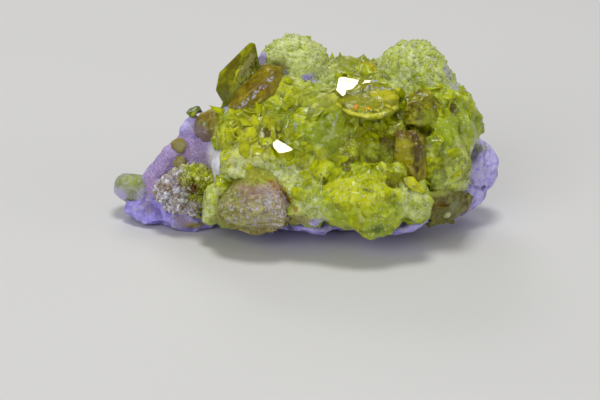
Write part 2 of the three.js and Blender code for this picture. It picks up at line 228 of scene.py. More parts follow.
def settled(piece):  # its modifiers become plain mesh
    graph = bpy.context.evaluated_depsgraph_get()
    mesh = bpy.data.meshes.new_from_object(piece.evaluated_get(graph))
    piece.modifiers.clear()
    old, piece.data = piece.data, mesh
    bpy.data.meshes.remove(old)
    return piece


def remeshed(piece, voxel):
    modifier = piece.modifiers.new("voxels", "REMESH")
    modifier.mode, modifier.voxel_size = "VOXEL", voxel
    return settled(piece)


def thinned(piece, triangles):
    have = sum(len(polygon.vertices) - 2 for polygon in piece.data.polygons)
    if have > triangles:
        piece.modifiers.new("fewer", "DECIMATE").ratio = triangles / have
        settled(piece)
    return piece


def absorbed(piece, meshes):  # joins other meshes into the piece
    form = bmesh.new()
    for mesh in (piece.data, *meshes):
        form.from_mesh(mesh)
    form.to_mesh(piece.data)
    form.free()
    return piece


def read(items, field, width=3, kind=np.float32):
    flat = np.empty(len(items) * width, kind)
    items.foreach_get(field, flat)
    return flat.reshape(-1, width)


def placesOf(piece):
    return read(piece.data.vertices, "co").astype(float)


def normalsOf(piece):
    return read(piece.data.vertex_normals, "vector").astype(float)


def movePlaces(piece, places):
    piece.data.vertices.foreach_set("co", places.astype(np.float32).ravel())
    piece.data.update()


def blurred(piece, values, rounds):  # each point takes its neighbours' mean
    ends = read(piece.data.edges, "vertices", 2, np.int32)
    count = np.bincount(ends.ravel(), minlength=len(values))
    for _ in range(rounds):
        columns = [np.bincount(ends[:, 0], column[ends[:, 1]], len(values))
                   + np.bincount(ends[:, 1], column[ends[:, 0]], len(values))
                   for column in values.T]
        values = np.stack(columns, 1) / np.maximum(count, 1)[:, None]
    return values


def eased(low, high, value):
    share = np.clip((value - low) / (high - low), 0, 1)
    return share * share * (3 - 2 * share)


def chances(cell):  # three numbers for every cell of a grid, -1 to 1
    key = (cell * (73856093, 19349663, 83492791)).sum(1) & 0xffffffff
    key = ((key ^ (key >> 15)) * 2246822519) & 0xffffffff
    key = ((key ^ (key >> 13)) * 3266489917) & 0xffffffff
    return ((key[:, None] >> (2, 12, 21)) & 1023) / 511.5 - 1


def waves(points, scale, seed=0):  # smooth noise, about -1 to 1
    spot = points * scale + seed * 17.31
    cell = np.floor(spot).astype(np.int64)
    part = spot - cell
    ease = part ** 3 * (part * (part * 6 - 15) + 10)
    total = np.zeros(len(points))
    for corner in itertools.product((0, 1), repeat=3):
        weight = np.prod(np.where(corner, ease, 1 - ease), 1)
        total += weight * ((part - corner) * chances(cell + corner)).sum(1)
    return total * 1.5


def breaks(points, size, seed=0):  # scooped facets that meet in sharp ridges, about -0.4 to 0.4
    spot = points / size + seed * 7.13
    home = np.floor(spot).astype(np.int64)
    lowest = np.full(len(points), 9.0)
    for step in itertools.product((-1, 0, 1), repeat=3):
        cell = home + step
        offset = spot - cell - 0.5 - 0.35 * chances(cell)
        height = 0.55 * (offset * offset).sum(1) + (offset * chances(cell + 57)).sum(1) * 0.9
        lowest = np.minimum(lowest, height)
    return np.clip(lowest + 0.1, -0.22, 0.5)


def zone(points, blobs, soft=0.3, stray=0.25):  # 1 inside listed ellipsoids, with an uneven edge
    uneven = stray * (waves(points, 0.8, 3) + 0.5 * waves(points, 2.6, 5))
    inside = np.zeros(len(points))
    for centre, radii in blobs:
        reach = np.linalg.norm((points - centre) / radii, axis=1) + uneven
        inside = np.maximum(inside, 1 - eased(1 - soft, 1 + soft, reach))
    return inside


def store(piece, name, values):
    attribute = piece.data.attributes.get(name) or piece.data.attributes.new(name, "FLOAT", "POINT")
    attribute.data.foreach_set("value", np.asarray(values, np.float32))


def storeRelief(piece, places, rounds, depth):  # 1 on the ridges and 0 in the hollows
    relief = ((places - blurred(piece, places, rounds)) * normalsOf(piece)).sum(1)
    store(piece, "relief", np.clip(0.5 + relief / depth, 0, 1))


def searched(places, host, reach):  # the places close to a neighbour, and its surface to search
    corners = placesOf(host)
    near = ((places > corners.min(0) - reach) & (places < corners.max(0) + reach)).all(1)
    faces = [polygon.vertices[:] for polygon in host.data.polygons]
    return np.flatnonzero(near), BVHTree.FromPolygons(corners.tolist(), faces)


def grownOnto(piece, hosts, reach=0.6, bite=0.07):  # closes the hair's breadth between neighbours
    places = placesOf(piece)
    for host in hosts:
        near, surface = searched(places, host, reach)
        for i in near:
            spot = Vector(places[i])
            hit, facing, _, distance = surface.find_nearest(spot, reach)
            if hit is None or distance < 1e-4 or (spot - hit).dot(facing) < 0:
                continue
            pull = 1 - eased(0.72 * reach, reach, distance)
            places[i] += (hit - spot) * float((distance + bite) / distance * pull)
    movePlaces(piece, places)


def ellipsoid(centre, radii):
    form = bmesh.new()
    bmesh.ops.create_icosphere(form, subdivisions=4, radius=1)
    bmesh.ops.scale(form, vec=radii, verts=form.verts)
    bmesh.ops.translate(form, vec=centre, verts=form.verts)
    mesh = bpy.data.meshes.new("core")
    form.to_mesh(mesh)
    form.free()
    return mesh


def melted(piece, share, rounds):  # its points drawn towards their neighbours' mean
    places = placesOf(piece)
    movePlaces(piece, places + share[:, None] * (blurred(piece, places, rounds) - places))


def nearness(piece, hosts, reach):  # 1 on a neighbour's surface, 0 from reach away
    places = placesOf(piece)
    close = np.zeros(len(places))
    for host in hosts:
        near, surface = searched(places, host, reach)
        for i in near:
            hit, _, _, distance = surface.find_nearest(Vector(places[i]), reach)
            if hit is not None:
                close[i] = max(close[i], 1 - distance / reach)
    return close


def finished(piece, material, nodes, smooth=True):
    piece.data.transform(Matrix.Scale(1 / perMetre, 4))
    piece.data.materials.clear()
    piece.data.materials.append(material)
    piece.data.polygons.foreach_set("use_smooth", [smooth] * len(piece.data.polygons))
    piece.data.update()
    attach(piece, "root")
    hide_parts(*nodes)
    print(piece.name, sum(len(p.vertices) - 2 for p in piece.data.polygons), "triangles")


def meshOf(name, form):
    bmesh.ops.recalc_face_normals(form, faces=form.faces)
    mesh = bpy.data.meshes.new(name)
    form.to_mesh(mesh)
    form.free()
    return mesh


def hulled(form):
    inner = bmesh.ops.convex_hull(form, input=form.verts)["geom_interior"]
    bmesh.ops.delete(form, geom=[part for part in inner if isinstance(part, bmesh.types.BMVert)])
    return form


# Small crystals that Geometry Nodes scatter over a surface
def ringForm(name, rings, sides=6):  # rings of (radius, height); a radius of 0 is a tip
    form = bmesh.new()
    loops = []
    for radius, height in rings:
        turns = [2 * math.pi * k / sides for k in range(sides if radius else 1)]
        loops.append([form.verts.new((radius * math.cos(turn), radius * math.sin(turn), height))
                      for turn in turns])
    for low, high in zip(loops, loops[1:]):
        for k in range(sides):
            ring = [low[k % len(low)], low[(k + 1) % len(low)],
                    high[(k + 1) % len(high)], high[k % len(high)]]
            form.faces.new(list(dict.fromkeys(ring)))
    return bpy.data.objects.new(name, meshOf(name, form))


def chunkForm(name, seed, corners, sizes):  # a broken lump with flat faces
    chance = np.random.default_rng(seed)
    form = bmesh.new()
    for i in range(corners):
        height = 1 - 2 * (i + 0.5) / corners
        ring = math.sqrt(1 - height * height)
        spot = Vector((ring * math.cos(i * goldenAngle), ring * math.sin(i * goldenAngle), height))
        spot += Vector(chance.uniform(-0.22, 0.22, 3))
        form.verts.new([a * b for a, b in zip(spot, sizes)])
    return bpy.data.objects.new(name, meshOf(name, hulled(form)))


def collected(name, forms):
    group = bpy.data.collections.new(name)
    for form in forms:
        group.objects.link(form)
    return group


growthInputs = {
    "Density": ("NodeSocketFloat", 1.0),
    "Length": ("NodeSocketFloat", 1.0),
    "Spread": ("NodeSocketFloat", 0.4),
    "Lean": ("NodeSocketFloat", 0.6),
    "Seed": ("NodeSocketInt", 1),
    "Crystals": ("NodeSocketCollection", None),
    "Finish": ("NodeSocketMaterial", None),
}


def growthTree():
    tree = bpy.data.node_groups.new("crystalGrowth", "GeometryNodeTree")
    tree.interface.new_socket("Geometry", in_out="INPUT", socket_type="NodeSocketGeometry")
    for name, (kind, default) in growthInputs.items():
        socket = tree.interface.new_socket(name, in_out="INPUT", socket_type=kind)
        if default is not None:
            socket.default_value = default
    tree.interface.new_socket("Geometry", in_out="OUTPUT", socket_type="NodeSocketGeometry")

    def node(kind, settings=(), links=(), values=()):
        made = tree.nodes.new(kind)
        for name, setting in dict(settings).items():
            setattr(made, name, setting)
        for name, value in dict(values).items():
            made.inputs[name].default_value = value
        for name, source in dict(links).items():
            tree.links.new(source, made.inputs[name])
        return made

    given = node("NodeGroupInput").outputs
    mask, size = (node("GeometryNodeInputNamedAttribute", {"data_type": "FLOAT"}, values={"Name": name})
                  for name in ("growth", "size"))
    density = node("ShaderNodeMath", {"operation": "MULTIPLY"},
                   {0: given["Density"], 1: mask.outputs[0]})
    points = node("GeometryNodeDistributePointsOnFaces", {"distribute_method": "RANDOM"},
                  {"Mesh": given["Geometry"], "Density": density.outputs[0], "Seed": given["Seed"]})
    turn = node("FunctionNodeRandomValue", {"data_type": "FLOAT_VECTOR"}, {"Seed": given["Seed"]},
                {0: (-1, -1, -math.pi), 1: (1, 1, math.pi)})
    least = node("ShaderNodeCombineXYZ", links={0: given["Lean"], 1: given["Lean"]}, values={2: 1.0})
    leaning = node("ShaderNodeVectorMath", {"operation": "MULTIPLY"},
                   {0: turn.outputs[0], 1: least.outputs[0]})
    rotation = node("FunctionNodeEulerToRotation", links={0: leaning.outputs[0]})
    placed = node("FunctionNodeRotateRotation", {"rotation_space": "LOCAL"},
                  {"Rotation": points.outputs["Rotation"], "Rotate By": rotation.outputs[0]})
    low = node("ShaderNodeMath", {"operation": "SUBTRACT"}, {1: given["Spread"]}, {0: 1.0})
    high = node("ShaderNodeMath", {"operation": "ADD"}, {1: given["Spread"]}, {0: 1.0})
    share = node("FunctionNodeRandomValue", {"data_type": "FLOAT"},
                 {2: low.outputs[0], 3: high.outputs[0], "Seed": given["Seed"]})
    length = node("ShaderNodeMath", {"operation": "MULTIPLY"},
                  {0: share.outputs[1], 1: given["Length"]})
    sized = node("ShaderNodeMath", {"operation": "MULTIPLY"},
                 {0: length.outputs[0], 1: size.outputs[0]})
    forms = node("GeometryNodeCollectionInfo", {"transform_space": "ORIGINAL"},
                 {"Collection": given["Crystals"]}, {"Separate Children": True})
    crystals = node("GeometryNodeInstanceOnPoints", links={
        "Points": points.outputs["Points"], "Instance": forms.outputs[0],
        "Rotation": placed.outputs[0], "Scale": sized.outputs[0]}, values={"Pick Instance": True})
    chance = node("FunctionNodeRandomValue", {"data_type": "FLOAT"},
                  values={2: 0.0, 3: 1.0, "Seed": 9})
    toned = node("GeometryNodeStoreNamedAttribute", {"data_type": "FLOAT", "domain": "INSTANCE"},
                 {"Geometry": crystals.outputs[0], "Value": chance.outputs[1]}, {"Name": "tone"})
    real = node("GeometryNodeRealizeInstances", links={0: toned.outputs[0]})
    painted = node("GeometryNodeSetMaterial",
                   links={"Geometry": real.outputs[0], "Material": given["Finish"]})
    node("NodeGroupOutput", links={0: painted.outputs[0]})
    return tree


crystalGrowth = growthTree()


def grown(name, host, growthMask, size, material, settings):  # a new piece of crystals over a host
    store(host, "growth", growthMask)
    store(host, "size", size)
    modifier = host.modifiers.new("growth", "NODES")
    modifier.node_group = crystalGrowth
    given = {**settings, "Finish": material}
    for socket in crystalGrowth.interface.items_tree:
        if socket.in_out == "INPUT" and socket.name in given:
            modifier[socket.identifier] = given[socket.name]
    graph = bpy.context.evaluated_depsgraph_get()
    mesh = bpy.data.meshes.new_from_object(host.evaluated_get(graph))
    host.modifiers.clear()
    return linked(name, mesh)


stubbyForms = collected("stubbyForms", [
    ringForm("stubby", [(0, -0.35), (0.42, 0.1), (0.42, 0.2), (0, 0.62)]),
    ringForm("stubbyLow", [(0, -0.35), (0.5, 0.08), (0, 0.5)]),
    chunkForm("stubbyChunk", 4, 12, (0.42, 0.36, 0.42)),
])
flakeForms = collected("flakeForms", [
    chunkForm("flake", 21, 9, (1.1, 0.8, 0.15)),
    chunkForm("flakeWedge", 22, 8, (0.9, 0.7, 0.22)),
    chunkForm("splinter", 23, 8, (0.3, 1.2, 0.17)),
])
druseForms = collected("druseForms", [
    ringForm("point", [(0, -0.4), (0.34, 0.0), (0.3, 0.3), (0, 0.85)]),
    ringForm("lath", [(0, -0.4), (0.36, 0.1), (0, 0.8)], 4),
    ringForm("slab", [(0, -0.3), (0.45, -0.1), (0.45, 0.2), (0.2, 0.45), (0, 0.45)], 5),
])


# The matrix rock
rockShape = {
    "voxel": 0.13,
    "fills": [((-11.9, 1.5, 3.0), (1.1, 1.1, 1.0)), ((-11.2, 1.5, 4.1), (1.0, 1.1, 1.0)),
              ((-10.4, 1.5, 5.2), (1.0, 1.1, 1.0))],
    "swell": 0.1,  # slow waves
    "breaks": [(2.0, 0.55, 1), (0.9, 0.28, 2), (0.45, 0.1, 3)],  # facet size, depth and seed
    "grain": 0.03,
    "mauveMelt": 50,  # rounds of smoothing under the mauve sugar
    "mauveGrain": 0.045,
    "fibreDepth": 0.09,
    "relief": (10, 0.2),  # rounds of blurring, and the depth that counts as full relief
    "mauve": [((-9.6, 1.0, 5.0), (2.9, 3.2, 2.2)), ((-12.0, 1.4, 3.2), (1.0, 2.0, 1.2)),
              ((-9.0, 4.2, 4.6), (3.0, 2.6, 2.4))],
    "bare": [((13.6, 3.2, 4.2), (3.0, 4.4, 3.4)), ((-9.3, 2.4, 7.0), (1.1, 1.4, 1.5)),
             ((-4.05, 4.0, 12.0), (0.9, 1.0, 2.0)), ((-6.6, -2.6, 5.4), (0.9, 2.0, 2.4))],
    "fibreHub": (12.0, 3.0, 5.6),  # where the bare end's ribs fan out from
    "fibreTop": (14.4, 2.0, 8.2),  # and its streaks of colour
    "pits": [((13.3, 1.3, 4.5), 0.3), ((13.6, 1.0, 4.0), 0.22), ((12.9, 1.0, 5.2), 0.2),
             ((13.9, 2.4, 3.2), 0.25)],
    "marks": [blotch((13.6, 3.0, 6.9), (1.8, 2.6, 0.9), "b2bc7e", (1.5, 0.36)),
              blotch((11.9, -0.6, 5.4), (0.9, 1.6, 1.8), "bcc49a", (1.5, 0.4)),
              blotch((-10.0, -2.6, 1.2), (1.6, 1.0, 0.6), "a08a7a", (1.2, 0.42), 0.7),
              blotch((-7.0, -1.6, 5.8), (0.9, 2.6, 2.4), "f4f2fa", (1.0, 0.32)),
              blotch((-8.2, -2.6, 0.7), (1.2, 1.0, 0.4), "9c8a20", (1.4, 0.4))],
    "colours": {"powder": "aca2ff", "shade": "786cb6", "light": "d4cbff", "mauve": "a48cc2",
                "mauveLight": "c8b2e4", "rose": "9c7e98", "ochre": "8f7a4c", "pit": "564458"},
}


def radial(places, hub, across, upward):  # the direction and the distance from a hub, in a plane
    offset = places - hub
    u, v = offset @ across, offset @ upward
    reach = np.hypot(u, v) + 1e-6
    return np.stack([u / reach, v / reach, 0.12 * reach], 1), reach


def makeRock(shape):
    fills = [ellipsoid(*fill) for fill in shape["fills"]]
    rock = remeshed(absorbed(solidCopy("matrixRock", "matrix_rock"), fills), shape["voxel"])
    melted(rock, zone(placesOf(rock), shape["mauve"]), shape["mauveMelt"])
    places, facing = placesOf(rock), normalsOf(rock)
    mauve, bare = zone(places, shape["mauve"]), zone(places, shape["bare"])
    height = shape["swell"] * waves(places, 0.55, 1) + shape["grain"] * waves(places, 2.8, 2)
    for size, depth, seed in shape["breaks"]:
        height += depth * breaks(places, size, seed) * (1 - np.maximum(0.9 * mauve, 0.7 * bare))
    height += shape["mauveGrain"] * mauve * waves(places, 4.2, 3)
    across, upward = np.array([0.9, -0.3, 0]), np.array([0, 0, 1.0])
    rays, reach = radial(places, np.array(shape["fibreHub"]), across, upward)
    height += shape["fibreDepth"] * bare * waves(rays, 8.0, 5) * eased(0.2, 1.2, reach)
    for spot, size in shape["pits"]:
        height -= 0.7 * size * (1 - eased(0.3 * size, size, np.linalg.norm(places - spot, axis=1)))
    places += facing * height[:, None]
    places[:, 2] = np.maximum(places[:, 2], 0)
    movePlaces(rock, places)
    storeRelief(rock, places, *shape["relief"])
    for name, mask in (("mauve", mauve), ("bare", bare)):
        store(rock, name, mask)
    return rock


def rockFinish(shape):
    f = Finish("lilacMatrix")
    tint = {name: paint(code) for name, code in shape["colours"].items()}
    relief, mauve, bare = f.attribute("relief"), f.attribute("mauve"), f.attribute("bare")
    colour = f.mix(f.noise(0.8, 5).ramp(0.28, 0.62), tint["shade"], tint["powder"])
    colour = f.mix(f.noise(3.4, 5, rough=0.65).ramp(0.48, 0.7) * 0.7, colour, tint["light"])
    ochre = f.noise(0.45, 3, f.stretched((1, 1, 1.7))).ramp(0.58, 0.72)
    colour = f.mix(ochre * 0.5, colour, tint["ochre"])
    clean = f.mix(f.noise(2.6, 5, rough=0.65).ramp(0.34, 0.56), tint["powder"], tint["light"])
    colour = f.mix(bare, colour, clean)
    sugar = f.mix(f.noise(6.5, 4, rough=0.75).ramp(0.42, 0.6), tint["mauve"], tint["mauveLight"])
    sugar = f.mix(f.noise(0.7, 2).ramp(0.5, 0.7) * 0.5, sugar, tint["rose"])
    colour = f.mix(mauve, colour, sugar)
    # painted shade darkens the hollows and a painted highlight pales the ridges
    colour = f.mix(relief.ramp(0.5, 0.12) * 0.7, colour, tint["shade"])
    colour = f.mix(relief.ramp(0.56, 0.9) * 0.45 * (1 - mauve * 0.6), colour, tint["light"])
    # the pits are painted dark too: painted shade in the dents
    pits = [blotch(at, [0.8 * size] * 3, shape["colours"]["pit"]) for at, size in shape["pits"]]
    colour, _ = marked(f, colour, pits + shape["marks"])
    away = f.vector("SUBTRACT", f.warped(1.2, 0.5), {1: shape["fibreTop"]})
    away = f.vector("MULTIPLY", away, {1: (1, 0, 1)})
    reach = f.vector("LENGTH", away, {}, 1)
    rays = f.vector("ADD", f.vector("NORMALIZE", away, {}),
                    {1: f.add("ShaderNodeCombineXYZ", {}, {1: reach * 0.1})})
    fibres = f.noise(7.0, 4, rays, rough=0.65)
    end = bare * f.around(*shape["bare"][0])
    colour = f.mix(end * fibres.ramp(0.5, 0.36) * 0.6, colour, tint["shade"])
    colour = f.mix(end * fibres.ramp(0.54, 0.68) * 0.5, colour, tint["light"])
    height = (f.noise(5.0, 6, rough=0.7) * 0.07 + f.cells(8.0) * mauve * 0.07 + f.noise(1.6, 5) * 0.08
              + (f.shards(0.7) * 0.6 + f.shards(1.6) * 0.9) * (1 - mauve) + fibres * end * 0.1)
    shader = f.principled({
        "Base Color": colour, "Roughness": 0.8 - mauve * 0.25 - f.noise(8.0, 2).ramp(0.6, 0.7) * 0.3,
        "Normal": f.bump(height, 0.8), "Subsurface Weight": 0.15,
        "Subsurface Radius": (0.9, 0.8, 1.0), "Subsurface Scale": 0.0003})
    return f.done(shader)


print("matrix rock")
rock = makeRock(rockShape)
rockMaterial = rockFinish(rockShape)


# Clear and half-clear single crystals with flat faces, most of them chipped.
# tint is the clear, light and deep colour, absorb a colour and its density inside the crystal,
# and spread an axis, how much longer the crystal gets along it, and its shift.
clearCrystals = {
    "blade": {
        "nodes": ["blade_crystal"], "slot": "clear_jouravskite", "rough": 0.05, "veil": 0.5,
        "tint": ("f4f4a4", "aeb00a", "7e8204"), "absorb": ((0.86, 0.84, 0.02, 1), 110),
        "grain": (0.9, 0.9, 0.35),
        "marks": [
            streak([(-4.5, 1.7, 13.4), (-5.2, 1.2, 12.5)], 0.42, "b3ab68", share=0.75),
            streak([(-4.2, 1.8, 13.1), (-4.6, 1.4, 12.4), (-5.4, 0.9, 11.7)], 0.5, "22380e", (4.2, 0.5)),
            streak([(-6.6, 1.2, 12.0), (-5.6, 1.9, 13.3)], 0.3, "6a5606", share=0.7),
            streak([(-5.3, 1.4, 13.7), (-5.9, 0.8, 11.4)], 0.14, "d4d42a", share=0.8),
            # a painted glint
            blotch((-4.5, 1.4, 12.2), (0.12, 0.12, 0.14), "ffffff")]},
    "leaf": {
        "nodes": ["leaf_crystal"], "slot": "brown_crystal", "rough": 0.14, "veil": 0.62, "chip": 0.22,
        "spread": [((0.69, -0.27, -0.67), 0.65, -0.14), ((0.72, 0.26, 0.64), 0.22, 0.26)],
        "tint": ("f2e48c", "b09e0a", "8e7e06"), "absorb": ((0.86, 0.76, 0.03, 1), 110),
        "grain": (1.6, 0.8, 0.7),
        "marks": [
            streak([(-5.4, -0.5, 10.1), (-4.1, 0.1, 11.0), (-3.0, 0.6, 11.4)], 0.5, "9a8a10", share=0.7),
            blotch((-3.9, 0.2, 11.4), (1.0, 0.8, 0.4), "7c5a0a", (1.4, 0.42), 0.7),
            # a painted highlight along the ridge, pale lilac and broken into specks
            streak([(-5.3, -0.9, 10.2), (-4.5, -0.6, 10.9), (-3.7, 0.0, 11.6), (-3.0, 0.6, 12.1)], 0.26,
                   "d6d0e4", (3.0, 0.48), 0.85),
            streak([(-5.4, -0.7, 9.8), (-4.3, -0.8, 10.3), (-3.2, 0.2, 11.1)], 0.13, "c6bd62",
                   share=0.8)]},
    "lens": {
        "nodes": ["lens_crystal"], "slot": "clear_jouravskite", "rough": 0.03, "veil": 0.42, "chip": 0.3,
        "tint": ("f8fab0", "d4d614", "a0a20a"), "absorb": ((0.92, 0.90, 0.02, 1), 100),
        "grain": (1.6, 0.9, 0.6),
        "marks": [
            blotch((4.4, -1.8, 11.5), (2.1, 0.9, 0.6), "a09e08", (1.7, 0.42), 0.75),
            # a painted glow of light reflected inside the crystal, along its lower rim
            streak([(1.9, -1.4, 11.1), (3.1, -3.0, 10.9), (4.3, -3.5, 10.9), (5.5, -3.1, 11.0),
                    (6.5, -2.1, 11.2)],
                   0.26, "eeea50", (2.0, 0.4), 0.8),
            streak([(2.4, -1.4, 11.4), (3.3, -2.6, 11.1), (5.4, -2.8, 11.2)], 0.3, "c9cc18", (2.4, 0.46),
                   0.8),
            blotch((5.6, -1.2, 11.8), (1.2, 0.8, 0.4), "cac41a", (1.4, 0.42)),
            # painted glints of light reflected inside the crystal, orange and yellow
            blotch((3.5, -2.5, 11.2), (0.15, 0.36, 0.3), "f39a10"),
            blotch((4.4, -2.7, 11.2), (0.32, 0.22, 0.2), "f8b914"),
            blotch((5.9, -2.3, 11.3), (0.3, 0.2, 0.2), "e6d63a"),
            streak([(3.2, -1.3, 11.8), (4.7, -0.6, 12.2), (6.0, -0.3, 12.1)], 0.4, "b6b2c4", (2.8, 0.5),
                   0.75)]},
    "olive": {
        "nodes": ["olive_crystal"], "slot": "clear_jouravskite", "rough": 0.08, "veil": 0.5, "chip": 0.35,
        "tint": ("eef08a", "bcb812", "807c08"), "absorb": ((0.84, 0.84, 0.03, 1), 110),
        "grain": (1.2, 1.2, 0.8),
        "marks": [
            blotch((7.8, -2.2, 11.0), (0.9, 0.8, 0.9), "4e3e08", (2.8, 0.5)),
            blotch((9.0, -2.3, 10.6), (0.8, 0.8, 0.6), "9fb21c", share=0.7),
            streak([(8.6, -1.1, 11.9), (9.4, -1.5, 11.2)], 0.13, "bcb6cc")]},
    "cavity": {
        "nodes": ["cavity_crystal"], "slot": "brown_crystal", "rough": 0.12, "veil": 0.6, "chip": 0.3,
        "spread": [((1.0, 0.0, 0.0), 0.35, -0.1)],
        "tint": ("f0e488", "b4aa0e", "80760a"), "absorb": ((0.86, 0.82, 0.03, 1), 110),
        "grain": (1.6, 1.6, 0.5),
        "marks": [
            blotch((7.3, -3.6, 7.8), (0.6, 0.9, 1.9), "b8b010", share=0.8),
            streak([(8.1, -3.3, 9.3), (8.4, -3.9, 8.0), (8.3, -3.9, 7.0)], 0.42, "4e3606", (1.0, 0.38),
                   0.85),
            blotch((7.3, -3.0, 9.4), (0.8, 0.8, 0.3), "6c4c0c", (1.6, 0.42), 0.8),
            blotch((7.7, -3.4, 8.6), (1.2, 1.0, 1.4), "cdc4dc", (4.6, 0.62))]},
    "tongue": {
        "nodes": ["tongue_crystal"], "slot": "clear_jouravskite", "rough": 0.08, "veil": 0.78, "chip": 0.16,
        "tint": ("f8f48a", "d6d80c", "aeae08"), "absorb": ((0.90, 0.88, 0.03, 1), 100),
        "grain": (1.2, 1.2, 0.6),
        "marks": [
            streak([(7.2, -4.7, 6.3), (8.0, -5.2, 5.2)], 0.22, "6a5008", share=0.85),
            streak([(8.0, -4.6, 6.4), (8.9, -4.8, 5.6)], 0.16, "f2ee4a")]},
    "foot": {
        "nodes": ["foot_crystal"], "slot": "clear_jouravskite", "rough": 0.1, "veil": 0.52, "chip": 0.5,
        "tint": ("e6e38c", "a09c14", "6c660c"), "absorb": ((0.82, 0.80, 0.05, 1), 120),
        "grain": (1.1, 1.1, 1.0),
        "marks": [
            blotch((10.2, -2.9, 4.2), (1.0, 0.8, 0.9), "6f5212", (1.6, 0.45)),
            blotch((11.3, -1.8, 3.0), (1.5, 0.9, 0.8), "8d9450", (1.3, 0.42), 0.7),
            streak([(9.6, -3.2, 4.9), (10.8, -2.6, 4.8), (12.2, -1.6, 4.4)], 0.55, "b4bc52", (1.8, 0.38),
                   0.85),
            streak([(9.3, -3.0, 2.6), (10.2, -3.0, 2.4)], 0.16, "c2bf4a", share=0.8)]},
}


def clearFinish(name, look):
    f = Finish(name + "Clear")
    clearTint, light, deep = (paint(code) for code in look["tint"])
    streaks = f.noise(1.2, 5, f.stretched(look["grain"]), warp=0.8)
    colour = f.mix(streaks.ramp(0.38, 0.62), light, deep)
    # cells of inner flaws, lit and dark: painted reflections from the inner facets
    flawsAndGlints = f.cells(1.5, "Color", place=f.warped(1.2, 0.7))
    colour = f.mix(flawsAndGlints.ramp(0.5, 0.85) * 0.55, colour, light)
    colour = f.mix(flawsAndGlints.ramp(0.42, 0.2) * 0.4, colour, deep)
    colour, cover = marked(f, colour, look["marks"])
    seen = f.mix(cover, clearTint, colour)
    veil = f.noise(1.3, 5, rough=0.65).ramp(0.36, 0.66) * 0.5 + (look["veil"] - 0.2)
    veil = veil.math("MAXIMUM", cover)
    normal = f.bump(f.shards(1.1) * 0.35 + streaks * 0.12 + f.noise(5.0, 3) * 0.02, 0.5)
    clear = f.principled({
        "Base Color": seen, "Roughness": look["rough"], "Transmission Weight": 1.0, "IOR": crystalIor,
        "Specular IOR Level": 0.3, "Normal": normal})
    cloudy = f.principled({
        "Base Color": colour, "Roughness": look["rough"] + 0.12, "IOR": crystalIor,
        "Specular IOR Level": 0.22, "Subsurface Weight": 0.6,
        "Subsurface Radius": (1.0, 0.9, 0.15), "Subsurface Scale": 0.0008, "Normal": normal})
    both = f.add("ShaderNodeMixShader", {}, {0: veil, 1: clear, 2: cloudy})
    return f.done(both, look["absorb"])


def makeClear(name, look):
    crystal = solidCopy(name + "Crystal", *look["nodes"])
    if "spread" in look:  # longer and broader than its solid, in the plane it is seen in
        centre = placesOf(crystal).mean(0)
        for axis, more, shift in look["spread"]:
            places, axis = placesOf(crystal), np.array(axis)
            movePlaces(crystal, places + (((places - centre) @ axis) * more + shift)[:, None] * axis)
    if "chip" in look:
        remeshed(crystal, 0.06)
        places = placesOf(crystal)
        height = look["chip"] * (breaks(places, 0.9, 31) + 0.4 * breaks(places, 0.35, 32))
        movePlaces(crystal, places + normalsOf(crystal) * (height + 0.3 * look["chip"])[:, None])
        return crystal
    bevel = crystal.modifiers.new("worn edges", "BEVEL")
    bevel.width, bevel.segments, bevel.limit_method = 0.05, 2, "ANGLE"
    bevel.angle_limit = math.radians(14)
    return settled(crystal)


print("clear crystals")
clears = {name: makeClear(name, look) for name, look in clearCrystals.items()}


